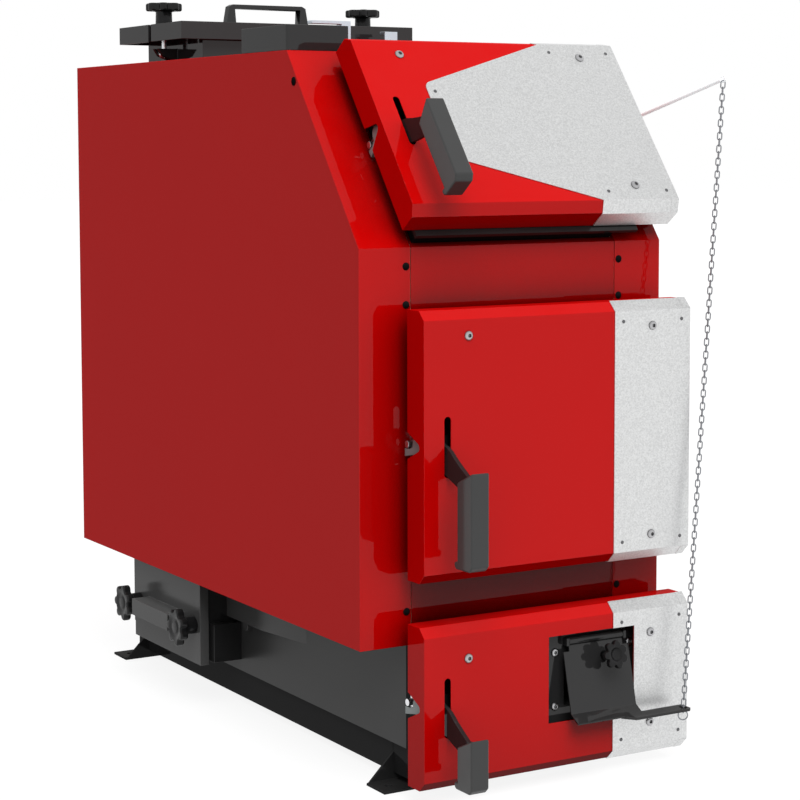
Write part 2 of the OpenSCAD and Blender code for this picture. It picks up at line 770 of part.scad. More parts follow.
side_plate_t = 3;
side_flange = 15;
side_down = 138;                     // side lid's lower edge below the casing
side_z0 = casing_bottom - side_down;
side_stud_in = 22;
side_stud_half = side_lid_d/2 - side_stud_in;
side_bar_half = 70;
side_bar_h = 27;
side_bar_d = 31;
side_stud_up = 62;
side_stud_z = side_z0 + side_stud_up;
low_neck_extra = 18;

module side_hatch_neck() {
  y0 = side_mid_y - side_neck_half;
  y1 = side_mid_y + side_neck_half;
  x0 = -side_lid_x + side_plate_t;
  z1 = side_z0 + side_lid_h - neck_t;
  color([0.1, 0.1, 0.11]) place() union() {
    difference() {
      union() {
        box([x0, y0, side_z0 + neck_t], [-bw, y1, z1]);
        box([x0 + side_flange, y0 - low_neck_extra, side_z0 + neck_t],
            [-bw, y0, side_z0 + side_lid_h/2]);
      }
      box([x0 - cut, y0 + neck_t, side_z0 + 2*neck_t], [-bw + cut, y1 - neck_t, z1 - neck_t]);
    }
    for (s = [-1, 1]) union() {
      box([x0, side_mid_y + s*side_stud_half - side_plate_t, side_z0 + neck_t],
          [x0 + side_plate_t, side_mid_y + s*side_stud_half + side_plate_t, z1]);
      rod_x(-side_lid_x - knob_hub_h/2, x0 + side_plate_t, side_mid_y + s*side_stud_half,
            side_stud_z, bolt_r);
    }
  }
}

module side_hatch_lid() {
  y0 = side_mid_y - side_lid_d/2;
  y1 = side_mid_y + side_lid_d/2;
  z1 = side_z0 + side_lid_h;
  color([0.3, 0.3, 0.31]) place() difference() {
    union() {
      difference() {
        box([-side_lid_x, y0, side_z0], [-side_lid_x + side_flange, y1, z1]);
        box([-side_lid_x + side_plate_t, y0 + side_plate_t, side_z0 + side_plate_t],
            [-side_lid_x + side_flange + cut, y1 - side_plate_t, z1 - side_plate_t]);
      }
      difference() {
        box([-side_lid_x - side_bar_d, side_mid_y - side_bar_half, side_stud_z - side_bar_h/2],
            [-side_lid_x, side_mid_y + side_bar_half, side_stud_z + side_bar_h/2]);
        box([-side_lid_x - side_bar_d + side_plate_t, side_mid_y - side_bar_half - cut,
             side_stud_z - side_bar_h/2 + side_plate_t],
            [-side_lid_x - side_plate_t, side_mid_y + side_bar_half + cut,
             side_stud_z + side_bar_h/2 - side_plate_t]);
      }
    }
    for (s = [-1, 1]) rod_x(-side_lid_x - cut, -side_lid_x + side_plate_t + cut,
                            side_mid_y + s*side_stud_half, side_stud_z, bolt_r + seat);
  }
}

module side_knob(s) color([0.22, 0.22, 0.23]) place()
  translate([-side_lid_x - seat, side_mid_y + s*side_stud_half, side_stud_z])
    rotate([0, -90, 0]) rotate([0, 0, s*90/lobes]) star_knob();

duct_d = 17;
side_neck_y = side_mid_y - side_neck_half;
duct_ahead = [239.5, 118.5];         // taper of the duct, ahead of the side hatch's neck
duct_y = [side_neck_y - duct_ahead[0], side_neck_y - duct_ahead[1]];
plug_ahead = 48.5;
plug_y = side_neck_y - plug_ahead;
duct_down = 64;                      // duct's lower edge below the casing
duct_z0 = casing_bottom - duct_down;
plug_r = 8;

module air_duct() {
  color([0.3, 0.3, 0.31]) place() union() {
    translate([0, 0, duct_z0]) linear_extrude(duct_down)
      polygon([[-bw, side_neck_y], [-bw - duct_d, side_neck_y], [-bw - duct_d, duct_y[1]],
               [-bw, duct_y[0]]]);
    rod_x(-bw - plug_r, -bw, plug_y, duct_z0 - plug_r, plug_r);
  }
}

// Draught regulator and chain

reg_hub_out = 60;
reg_hub_x = cw + reg_hub_out;
reg_neck_r = 14;
reg_hub_r = 20;
reg_hub_w = 14;
reg_body_r = 22;
arm_rest_a = 14.2;
arm_r = 3;
arm_tip_y = -67.4;
arm_len = (reg_y - arm_tip_y)/cos(arm_rest_a);
arm_tip_z = reg_z + arm_len*sin(arm_rest_a);
eye_wire = 1.1;
eye_mid = 4.5;
dial_start = reg_hub_x + reg_hub_w/2 + 2*seat;
dial_r = 24;
dial_flutes = 12;
flute_r = 2.5;
flange_w = 15;
flange_out = cw + flange_w;
dial_bore_d = 20;

module regulator_body() {
  neck_end = dial_start + dial_bore_d;
  color([0.55, 0.55, 0.57]) place() union() {
    rod_x(bw - jacket_t/2, cw, reg_y, reg_z, well_r - run_fit);
    translate([cw, reg_y, reg_z]) rotate([0, 90, 0]) cylinder(h = flange_out - cw, r = reg_body_r, $fn = 6);
    rod_x(bw, cw + cut, reg_y, reg_z, well_r + hole_gap);
    rod_x(flange_out, reg_hub_x - reg_hub_w/2 - seat, reg_y, reg_z, reg_body_r - hole_gap);
    rod_x(flange_out, neck_end, reg_y, reg_z, reg_neck_r);
  }
}

module regulator_dial() {
  color([0.1, 0.1, 0.1]) place() translate([dial_start, reg_y, reg_z]) rotate([0, 90, 0]) difference() {
    cylinder(h = dial_end_x - dial_start, r = dial_r);
    translate([0, 0, -cut]) cylinder(h = dial_bore_d + cut + seat, r = reg_neck_r + run_fit);
    for (k = [0:dial_flutes - 1]) rotate([0, 0, k*360/dial_flutes]) translate([dial_r + flute_r/2, 0, -cut])
      cylinder(h = dial_end_x - dial_start + 2*cut, r = flute_r);
  }
}

module regulator_arm() {
  color([0.8, 0.8, 0.82]) place() translate([reg_hub_x, reg_y, reg_z]) difference() {
    union() {
      rotate([0, 90, 0]) translate([0, 0, -reg_hub_w/2]) cylinder(h = reg_hub_w, r = reg_hub_r);
      rotate([-arm_rest_a, 0, 0]) {
        rod_y(-arm_len + eye_mid, -reg_neck_r - cut, 0, 0, arm_r);
        translate([0, -arm_len, 0]) rotate([0, 90, 0]) rotate_extrude()
          translate([eye_mid, 0]) circle(eye_wire);
      }
    }
    rotate([0, 90, 0]) translate([0, 0, -reg_hub_w]) cylinder(h = 2*reg_hub_w, r = reg_neck_r + run_fit);
  }
}

link_w = link_pitch/2 + wire_d;      // outer width of a link
lever_hole_in = 28;                  // chain's hole in the flap lever, inside the casing side
lever_hole = [cw - lever_hole_in, -100];
chain_slot = [9, 14];
lever_down = 46.5;                   // flap lever below the door's middle
flap_lever_z = lower_z - lever_down;
chain_tail = 5;
ring_mid = 5.5;                      // ring that keeps the chain's end below the lever
chain_top = [reg_hub_x, arm_tip_y, arm_tip_z - eye_mid + eye_wire + seat];
chain_bottom = [lever_hole[0], lever_hole[1], flap_lever_z - chain_tail];
chain_v = chain_bottom - chain_top;
chain_len = norm(chain_v);
chain_run = chain_len - link_pitch - wire_d;
links = 1 + ceil(chain_run/(link_pitch - seat));
link_step = chain_run/(links - 1);

module chain_link() {
  // one oval of round wire, its plane holding z, hung from its upper inner end at z = 0
  bend = link_w/2 - wire_d/2;
  straight = link_pitch - 2*(bend - wire_d/2);
  translate([0, 0, -link_pitch/2]) rotate([90, 0, 0]) {
    for (s = [0, 1]) rotate([0, 0, s*180]) translate([0, straight/2, 0])
      rotate_extrude(angle = 180, $fn = 24) translate([bend, 0]) circle(wire_d/2, $fn = 16);
    translate([0, straight/2, 0]) rotate([90, 0, 0]) linear_extrude(straight)
      for (s = [-1, 1]) translate([s*bend, 0]) circle(wire_d/2, $fn = 16);
  }
}

module chain() {
  color([0.8, 0.8, 0.82]) place() translate(chain_top)
    rotate([asin(chain_v[1]/chain_len), atan2(-chain_v[0], -chain_v[2]), 0]) {
      for (k = [0:links - 1]) translate([0, 0, -k*link_step]) rotate([0, 0, k%2*90]) chain_link();
      translate([0, 0, wire_d/2 + seat - chain_run - link_pitch - ring_mid])
        rotate([90, 0, links%2*90]) rotate_extrude() translate([ring_mid, 0]) circle(wire_d/2);
    }
}

// Doors

slot_len = 82;
latch_slot_w = 10;
lever_t = 6;
lever_in = 34;                       // lever from the door's left edge
lever_x = door_x0 + lever_in;
stud_in = [70, 67];                  // screws from the door's left and right edges
stud_x = [door_x0 + stud_in[0], door_x1 - stud_in[1]];
stud_end = [37, 35, 47];             // studs' distance from the door's ends
stud_r = 6;
stud_bore = 3.1;
stud_bore_d = 20;
screw_len = 16;
notch_half = 18;
notch_d = 31;
shield_gap_x = 7;
shield_half_x = fw - shield_gap_x;
shield_d = 26;
shield_gap = 7;
gasket_w = 14;
latch_r = 6;
bracket_t = 5;
bracket_half = 14;
flap_in = 155;                       // flap's middle from the doors' right edge
flap_mid_x = door_x1 - flap_in;
duct_half_x = 48;
duct_half_z = 38;
duct_mid_z = 10;

// Distance of the screws from the middle of door i
function stud_z(i) = door_h[i]/2 - stud_end[i];

module leaf(i) {
  half = collar_h[i]/2 + leaf_t;
  difference() {
    union() {
      box([-bw - leaf_t, leaf_front, -half], [stud_x[1] + 2*stud_r, leaf_back, half]);
      box([-shield_half_x, leaf_back, -open_half[i] + shield_gap],
          [shield_half_x, leaf_back + shield_d, open_half[i] - shield_gap]);
      for (z = hinge_zs(i)) {
        rod_z(z - barrel_h/2, z + barrel_h/2, hinge_x, hinge_y, barrel_r);
        box([stud_x[1], leaf_front, z - barrel_h/2], [hinge_x, leaf_front + leaf_t, z + barrel_h/2]);
      }
      for (x = stud_x, s = [-1, 1]) if (x > 0 || s > 0)
        rod_y(-door_proj + sheet_t, leaf_front + cut, x, s*stud_z(i), stud_r);
      for (x = [-bw - leaf_t, lever_x + lever_t + bracket_t])
        box([x, latch_y - 1.5*latch_r, -bracket_half], [x + bracket_t, leaf_front + cut, bracket_half]);
    }
    for (z = hinge_zs(i)) rod_z(z - barrel_h, z + barrel_h, hinge_x, hinge_y, pin_r + run_fit);
    for (x = stud_x, s = [-1, 1]) if (x > 0 || s > 0)
      rod_y(-door_proj, -door_proj + stud_bore_d, x, s*stud_z(i), stud_bore);
    rod_x(-bw - 2*leaf_t, 0, latch_y, 0, latch_r + run_fit);
    if (i == 2) box([flap_mid_x - duct_half_x, leaf_front - cut, duct_mid_z - duct_half_z],
                    [min(flap_mid_x + duct_half_x, shield_half_x - frame_t),
                     leaf_back + shield_d + cut, duct_mid_z + duct_half_z]);
  }
}

module gasket(i) {
  half = collar_h[i]/2 - collar_t/2;
  hx = bw - collar_t/2;
  g = gasket_w/2;
  difference() {
    box([-hx - g/2, leaf_back, -half - g/2], [hx + g/2, -collar_out - seat, half + g/2]);
    box([-hx + g, leaf_back - cut, -half + g], [hx - g, -collar_out + cut, half - g]);
  }
}

// Outline of a door shell from the side, grown by g, as points (y, z)
function shell_outline(i, g, rear) = [
  [rear, -door_h[i]/2 - g], [-door_proj + chamfer, -door_h[i]/2 - g],
  [-door_proj - g, -door_h[i]/2 + chamfer], [-door_proj - g, door_h[i]/2 - chamfer],
  [-door_proj + chamfer, door_h[i]/2 + g], [rear, door_h[i]/2 + g]];

module latch_notch() {
  tip_y = -door_proj + shell_depth - notch_d;
  tip_r = notch_half/3;
  hull() {
    rod_x(door_x0 - cut, door_x0 + sheet_t + cut, tip_y + tip_r, 0, tip_r);
    box([door_x0 - cut, -door_proj + shell_depth, -notch_half],
        [door_x0 + sheet_t + cut, -door_proj + shell_depth + cut, notch_half]);
  }
}

cutout_side = [86, 59.5];            // from the flap's middle to the cut-out's left and right
cutout_x = [flap_mid_x - cutout_side[0], flap_mid_x + cutout_side[1]];
cutout_z = [-44.5, 77.5];

module flap_cutout(front)
  box([cutout_x[0], front, cutout_z[0]], [cutout_x[1], -door_proj + 2*cut, cutout_z[1]]);

module latch_slot(front) hull() for (s = [-1, 1])
  rod_y(front, -door_proj + 2*sheet_t, lever_x + lever_t/2, s*(slot_len/2 - latch_slot_w/2), latch_slot_w/2);

module door_shell(i) {
  rear = -door_proj + shell_depth;
  difference() {
    prism_x(door_x0, door_x1, shell_outline(i, 0, rear));
    prism_x(door_x0 + sheet_t, door_x1 - sheet_t, shell_outline(i, -sheet_t, rear + cut));
    latch_notch();
    latch_slot(-door_proj - cut);
    for (x = stud_x, s = [-1, 1]) if (x > 0 || s > 0)
      rod_y(-door_proj - cut, -door_proj + 2*cut, x, s*stud_z(i), stud_bore);
    if (i == 2) flap_cutout(-door_proj - cut);
  }
}

cover_t = 1.5;
cover_x0 = door_x1 - cover_w;
tip_in = 92;
tip_x = door_x0 + tip_in;
tip_half = 64;
corner_share = 0.9;                  // bevelled corners, of the chamfer

// Outline of the loading door's plate on the flat, as points (x, z)
function plate_outline() = [
  [cover_x0, -upper_h/2 + chamfer], [door_x1, -upper_h/2 + chamfer],
  [door_x1, upper_h/2 - chamfer], [cover_x0, upper_h/2 - chamfer],
  [tip_x, tip_half], [tip_x, -tip_half]];

module door_cover(i) {
  bite = chamfer*corner_share;
  difference() {
    union() {
      difference() {
        prism_x(cover_x0, door_x1, shell_outline(i, cover_t, -door_proj + chamfer));
        prism_x(cover_x0 - cut, door_x1 + cut, shell_outline(i, 0, -door_proj + chamfer + cut));
      }
      if (i == 0) translate([0, -door_proj, 0]) rotate([90, 0, 0]) linear_extrude(cover_t)
        polygon(plate_outline());
    }
    for (s = [-1, 1]) translate([door_x1, -door_proj - 2*cover_t, s*(door_h[i]/2 + 2*cover_t)])
      rotate([-90, 0, 0]) translate([0, 0, -cut]) rotate([0, 0, 45])
        cube([bite*sqrt(2), bite*sqrt(2), 4*chamfer], center = true);
    for (s = [-1, 1]) rod_y(-door_proj - 2*cover_t, -door_proj + cut, stud_x[1], s*stud_z(i), stud_bore);
    if (i == 2) flap_cutout(-door_proj - 2*cover_t);
  }
}

dome_r = 6.5;
dome_t = 4;
rivet_r = 2.6;
rivet_in = 27.5;
rivet_side = [14.5, 15.7];           // rivets from the cover plate's left and right edges
rivet_x = [cover_x0 + rivet_side[0], door_x1 - rivet_side[1]];
tip_rivet = [12, 14];                // rivet at the plate's tip, from its left and upper edge

module dome(x, y, z, r, t) translate([x, y, z]) button_head(r, t);

module door_screws(i) {
  for (x = stud_x, s = [-1, 1]) if (x > 0 || s > 0) union() {
    face = -door_proj - (x > 0 ? cover_t : 0);
    dome(x, face, s*stud_z(i), dome_r, dome_t);
    rod_y(face - cut, -door_proj + screw_len, x, s*stud_z(i), stud_bore - run_fit);
  }
  for (x = rivet_x, s = [-1, 1])
    dome(x, -door_proj - cover_t, s*(door_h[i]/2 - rivet_in), rivet_r, rivet_r/2);
  if (i == 2) for (sx = [-1, 1], z = flap_bolt_z)
    dome(flap_mid_x + sx*flap_bolt_x, frame_y, z, flap_bolt_r, flap_bolt_t);
  if (i == 0) dome(tip_x + tip_rivet[0], -door_proj - cover_t, tip_half - tip_rivet[1], rivet_r, rivet_r/2);
}

// Latch of each door: shaft, hook at its left end, lever through the slot, hanging grip

hook_reach = 32;
hook_gap = 1;
hook_drop = keeper_r + hook_gap;
hook_h = 11;
hub_r = 12;
grip_w = 28;
grip_top = -24;                      // top of the grips, from the door's middle
grip_slope = 16;                     // fall of the grip's top to its rear
grip_low = [-156, -156, -98];        // the ash door's grip is short, to clear the floor
grip_toe = [7, 10];                  // small step at the grip's lower rear
grip_cut = 7;                        // bevel at the grip's foot
tang_in = 8;
tang_w = 20;
tang_len = 52;
arch = [[10, -4], [22, -13], [36, -22]];  // lever's upper edge, out from the door and down
belly = [[14, -44], [45, -56]];      // its lower edge
arch_rise = 2;
lever_low = 38;                      // lever's lower edge where it leaves the door

module latch() {
  lx = lever_x;
  face = -door_proj;
  back = face - grip_out;
  union() {
    rod_x(hook_x0, lever_x + lever_t + 2*bracket_t + seat, latch_y, 0, latch_r);
    prism_x(hook_x0, hook_x0 + hook_t, [
      [latch_y - latch_r, 0], [latch_y, latch_r], [latch_y + latch_r, 0],
      [keeper_y - keeper_r - hook_gap, -hook_drop], [latch_y + hook_reach, -hook_drop],
      [latch_y + hook_reach, -hook_drop - hook_h], [latch_y, -hook_h]]);
    rod_x(hook_x0, hook_x0 + hook_t, latch_y, 0, hub_r);
    rod_x(lx, lx + lever_t, latch_y, 0, hub_r);
    prism_x(lx, lx + lever_t, [
      [latch_y + hub_r/2, -hub_r/2], [latch_y, hub_r], [face + hub_r/2, arch_rise], [face, arch_rise/2],
      face_side(arch[0]), face_side(arch[1]), face_side(arch[2]),
      [back - tang_in, grip_top - grip_slope/2], [back - tang_in - tang_w, grip_top - grip_slope/2],
      [back - tang_in - tang_w, belly[1][1] - tang_len + grip_slope],
      [back - tang_in, belly[1][1] - tang_len + grip_slope], [back - tang_in, belly[1][1]],
      face_side(belly[1]), face_side(belly[0]), [face, -lever_low], [face + hub_r, -lever_low]]);
  }
}

// Point p, given out from the door face and up from its middle, as (y, z)
function face_side(p) = [-door_proj - p[0], p[1]];

module grip(i) {
  lx = lever_x + lever_t/2;
  back = -door_proj - grip_out;
  front = back - grip_d;
  low = grip_low[i];
  difference() {
    prism_x(lx - grip_w/2, lx + grip_w/2, [
      [back, grip_top - grip_slope], [front, grip_top], [front, low + grip_cut],
      [front + grip_cut, low], [back + grip_toe[0]/2, low], [back + grip_toe[0], low + grip_toe[0]/2],
      [back + grip_toe[0], low + grip_toe[1]], [back, low + grip_toe[1]]]);
    prism_x(lx - lever_t/2, lx + lever_t/2, [
      [back + cut, belly[1][1]], [back - tang_in, belly[1][1]],
      [back - tang_in, belly[1][1] - tang_len + grip_slope],
      [back - tang_in - tang_w, belly[1][1] - tang_len + grip_slope],
      [back - tang_in - tang_w, grip_top + cut], [back + cut, grip_top + cut]]);
  }
}

// Air inlet of the ash door

frame_in = 18;
frame_y = -door_proj + frame_in;     // front face of the flap frame
frame_t = 3;
frame_side = [90, 78];               // from the flap's middle to the frame's left and right
frame_half_h = 68;
frame_mid_z = 16;
flap_axis_out = 6;
flap_axis_y = frame_y - flap_axis_out;
flap_axis_z = 64.5;
flap_pin_r = 3;
flap_sleeve_r = 5.5;
flap_half = 56;
flap_sleeve_half = 46;
flap_t = 2.5;
flap_len = 100;
flap_lean = 13.2;
hem_len = 20;
hem_a = 46;
lug_w = 5;
flap_bolt_x = 64;
flap_bolt_z = [-27, 50];
flap_bolt_r = 6;
flap_bolt_t = 3.6;
flap_nut_r = 6;
flap_nut_t = 3;
flap_collar_r = 7;
flap_lobe_share = 0.22;
flap_shoulder = 14;
knob_right = 12;                     // flap's knob beside the flap's middle
knob_x = flap_mid_x + knob_right;
knob_down = 26;
flap_knob_r = 18;
flap_knob_t = 9;
flap_stem = 22;
lever_bar_w = 26;
lever_bar_t = 4;
lever_bar_end = 8;                   // lever bar beyond the chain's hole
lever_bar_in = 20;                   // lever bar's left end beside the flap's middle
lever_bar_x = [flap_mid_x + lever_bar_in, lever_hole[0] + lever_bar_end];
lever_bar_back = 11;                 // lever bar's front edge ahead of the chain's hole
lever_bar_y = lever_hole[1] - lever_bar_back;
lever_bevel = [6, 8, 14, 4];         // bevels at the bar's left end, then at its right end

module flap_frame() {
  color([0.1, 0.1, 0.11]) place() door_frame(2) difference() {
    union() {
      box([flap_mid_x - frame_side[0], frame_y, frame_mid_z - frame_half_h],
          [flap_mid_x + frame_side[1], frame_y + frame_t, frame_mid_z + frame_half_h]);
      box([flap_mid_x - duct_half_x - frame_t, frame_y, duct_mid_z - duct_half_z - frame_t],
          [flap_mid_x + duct_half_x + frame_t, leaf_front, duct_mid_z + duct_half_z + frame_t]);
      for (s = [-1, 1]) {
        x = flap_mid_x + s*(flap_sleeve_half + seat + lug_w/2);
        box([x - lug_w/2, flap_axis_y - flap_sleeve_r, flap_axis_z - flap_sleeve_r],
            [x + lug_w/2, frame_y + cut, flap_axis_z + flap_sleeve_r]);
      }
      rod_x(flap_mid_x - flap_sleeve_half - lug_w, flap_mid_x + flap_sleeve_half + lug_w,
            flap_axis_y, flap_axis_z, flap_pin_r);
      for (s = [-1, 1], z = flap_bolt_z)
        rod_y(frame_y + cut, leaf_front, flap_mid_x + s*flap_bolt_x, z, flap_bolt_r);
    }
    box([flap_mid_x - duct_half_x, frame_y - cut, duct_mid_z - duct_half_z],
        [flap_mid_x + duct_half_x, leaf_front + cut, duct_mid_z + duct_half_z]);
  }
}

module flap_space() translate([flap_mid_x, flap_axis_y, flap_axis_z]) rotate([-flap_lean, 0, 0]) children();

// The flap's bent sheet from the side, below its shoulder, as points (y, z)
function flap_outline() =
  let (o = -flap_t/2, i = flap_t/2, m = flap_t*tan(hem_a/2))
  [[o, -flap_shoulder], [o, -flap_len], [o - hem_len*sin(hem_a), -flap_len - hem_len*cos(hem_a)],
   [o - hem_len*sin(hem_a) + flap_t*cos(hem_a), -flap_len - hem_len*cos(hem_a) - flap_t*sin(hem_a)],
   [i, -flap_len - m], [i, -flap_shoulder]];

module air_flap() {
  color([0.15, 0.15, 0.16]) place() door_frame(2) difference() {
    union() {
      flap_space() {
        rod_x(-flap_sleeve_half, flap_sleeve_half, 0, 0, flap_sleeve_r);
        box([-flap_sleeve_half, -flap_t/2, -flap_shoulder - cut], [flap_sleeve_half, flap_t/2, 0]);
        prism_x(-flap_half, flap_half, flap_outline());
      }
      translate([0, 0, flap_lever_z - lower_z]) linear_extrude(lever_bar_t) polygon([
        [lever_bar_x[0] + lever_bevel[0], lever_bar_y + lever_bar_w],
        [lever_bar_x[0], lever_bar_y + lever_bar_w - lever_bevel[1]],
        [lever_bar_x[0] + lever_bevel[2], lever_bar_y], [lever_bar_x[1] - lever_bevel[3], lever_bar_y],
        [lever_bar_x[1], lever_bar_y + lever_bevel[3]], [lever_bar_x[1], lever_bar_y + lever_bar_w]]);
    }
    flap_space() rod_x(-flap_half, flap_half, 0, 0, flap_pin_r + run_fit);
    flap_space() rod_y(-flap_t, flap_t, knob_x - flap_mid_x, -knob_down, bolt_r + seat);
    translate([lever_hole[0], lever_hole[1], flap_lever_z - lower_z - cut])
      linear_extrude(lever_bar_t + 2*cut) union() {
        for (s = [-1, 1]) translate([0, s*(chain_slot[1] - chain_slot[0])/2]) circle(chain_slot[0]/2);
        square([chain_slot[0], chain_slot[1] - chain_slot[0]], center = true);
      }
  }
}

module flap_knob() {
  small_lobe = flap_knob_r*flap_lobe_share;
  color([0.12, 0.12, 0.13]) place() door_frame(2) flap_space()
    translate([knob_x - flap_mid_x, -flap_t/2, -knob_down]) rotate([90, 0, 0]) union() {
      translate([0, 0, -flap_t - flap_nut_t]) cylinder(h = flap_stem + flap_t + flap_nut_t, r = bolt_r);
      translate([0, 0, -flap_t - flap_nut_t]) cylinder(h = flap_nut_t - seat, r = flap_nut_r);
      translate([0, 0, seat]) cylinder(h = flap_stem, r = flap_collar_r);
      translate([0, 0, flap_stem]) linear_extrude(flap_knob_t) lobed_disc(flap_knob_r, small_lobe);
    }
}

module upper_door_leaf() color([0.1, 0.1, 0.11]) place() door_frame(0) leaf(0);
module middle_door_leaf() color([0.1, 0.1, 0.11]) place() door_frame(1) leaf(1);
module lower_door_leaf() color([0.1, 0.1, 0.11]) place() door_frame(2) leaf(2);
module upper_door_gasket() color([0.85, 0.84, 0.8]) place() door_frame(0) gasket(0);
module middle_door_gasket() color([0.85, 0.84, 0.8]) place() door_frame(1) gasket(1);
module lower_door_gasket() color([0.85, 0.84, 0.8]) place() door_frame(2) gasket(2);
module upper_door_shell() color([0.85, 0.1, 0.1]) place() door_frame(0) door_shell(0);
module middle_door_shell() color([0.85, 0.1, 0.1]) place() door_frame(1) door_shell(1);
module lower_door_shell() color([0.85, 0.1, 0.1]) place() door_frame(2) door_shell(2);
module upper_door_cover() color([0.8, 0.8, 0.8]) place() door_frame(0) door_cover(0);
module middle_door_cover() color([0.8, 0.8, 0.8]) place() door_frame(1) door_cover(1);
module lower_door_cover() color([0.8, 0.8, 0.8]) place() door_frame(2) door_cover(2);
module upper_door_screws() color([0.7, 0.7, 0.72]) place() door_frame(0) door_screws(0);
module middle_door_screws() color([0.7, 0.7, 0.72]) place() door_frame(1) door_screws(1);
module lower_door_screws() color([0.7, 0.7, 0.72]) place() door_frame(2) door_screws(2);
module upper_latch() color([0.2, 0.2, 0.21]) place() door_frame(0) latch();
module middle_latch() color([0.2, 0.2, 0.21]) place() door_frame(1) latch();
module lower_latch() color([0.2, 0.2, 0.21]) place() door_frame(2) latch();
module upper_grip() color([0.25, 0.25, 0.26]) place() door_frame(0) grip(0);
module middle_grip() color([0.25, 0.25, 0.26]) place() door_frame(1) grip(1);
module lower_grip() color([0.25, 0.25, 0.26]) place() door_frame(2) grip(2);
module top_knob_left() top_knob(-1);
module top_knob_right() top_knob(1);
module side_knob_rear() side_knob(1);
module side_knob_front() side_knob(-1);

base_frame();
boiler_body();
heat_exchanger();
door_collars();
firebricks();
grate_bars();
ash_pan();
insulation();
left_casing();
right_casing();
front_panels();
top_panel();
rear_panel();
casing_screws();
hinge_brackets();
door_keepers();
flue_collar();
flue_damper();
pipe_sockets();
top_hatch_neck();
top_lid();
lid_handle();
swing_bolts();
top_knob_left();
top_knob_right();
top_cover_box();
top_brackets();
side_hatch_neck();
side_hatch_lid();
side_knob_rear();
side_knob_front();
air_duct();
regulator_body();
regulator_dial();
regulator_arm();
chain();
upper_door_leaf();
upper_door_gasket();
upper_door_shell();
upper_door_cover();
upper_door_screws();
upper_latch();
upper_grip();
middle_door_leaf();
middle_door_gasket();
middle_door_shell();
middle_door_cover();
middle_door_screws();
middle_latch();
middle_grip();
lower_door_leaf();
lower_door_gasket();
lower_door_shell();
lower_door_cover();
lower_door_screws();
lower_latch();
lower_grip();
flap_frame();
air_flap();
flap_knob();
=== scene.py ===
"""Looks of a solid fuel boiler: enamelled casing and doors, hammered cover plates, moulded grips
and knobs, plated screws, link chain and rope seals, on a pale studio floor."""

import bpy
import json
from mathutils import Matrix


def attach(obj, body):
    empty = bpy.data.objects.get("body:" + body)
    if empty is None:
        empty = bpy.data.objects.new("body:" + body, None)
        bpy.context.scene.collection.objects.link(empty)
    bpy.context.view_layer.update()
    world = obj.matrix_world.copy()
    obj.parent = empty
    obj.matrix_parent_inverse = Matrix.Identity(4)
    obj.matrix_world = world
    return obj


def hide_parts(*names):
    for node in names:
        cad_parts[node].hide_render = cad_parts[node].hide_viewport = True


bl_info = {
    "name": "Solid Fuel Boiler Looks",
    "version": (1, 0, 0),
    "blender": (4, 5, 0),
    "location": "View3D > Sidebar > Boiler",
    "description": "Coats and finishes the pieces of a solid fuel boiler and sets its studio",
    "category": "Object",
}

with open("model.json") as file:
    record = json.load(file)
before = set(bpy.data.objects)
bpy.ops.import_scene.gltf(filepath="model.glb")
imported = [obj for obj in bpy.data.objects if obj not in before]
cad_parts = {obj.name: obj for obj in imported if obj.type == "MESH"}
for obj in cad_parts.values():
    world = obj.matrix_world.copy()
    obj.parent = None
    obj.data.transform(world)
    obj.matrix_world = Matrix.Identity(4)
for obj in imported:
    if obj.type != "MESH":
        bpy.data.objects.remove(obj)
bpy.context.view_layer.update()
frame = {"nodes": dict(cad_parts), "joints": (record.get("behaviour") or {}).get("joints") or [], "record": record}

import json
import math

import bmesh
import bpy
import numpy as np
from mathutils import Matrix, Vector

MM = 0.001
TURN = 2*math.pi
CAMERA_PLACE = (-1.6805, -2.9265, 0.892)
CAMERA_ROLL = -0.0023
LAMP_PLACE = (-0.6, -3.6, 4.2)
LAMP_AIM = (0.193, 0.598, -0.778)

BODY_OF = {node: body for body, nodes in frame["record"]["behaviour"]["bodies"].items() for node in nodes}
SLOT_OF = {part["node"]: part["material_slot"] for part in frame["record"]["subparts"]}
JOINT = {joint["name"]: joint for joint in frame["joints"]}
DOORS = ("upper", "middle", "lower")


# Properties that a user would change

def colour_property(name, description, default):
    return bpy.props.FloatVectorProperty(
        name=name, description=description, subtype="COLOR", size=3, min=0, max=1, default=default)


def share_property(name, description, default, most=1):
    return bpy.props.FloatProperty(name=name, description=description, min=0, max=most, default=default)


def length_property(name, description, default, least=0.0001, most=0.01):
    return bpy.props.FloatProperty(
        name=name, description=description, unit="LENGTH", min=least, max=most, default=default)


def angle_property(name, description, degrees, **limits):
    return bpy.props.FloatProperty(
        name=name, description=description, unit="ROTATION", default=math.radians(degrees), **limits)


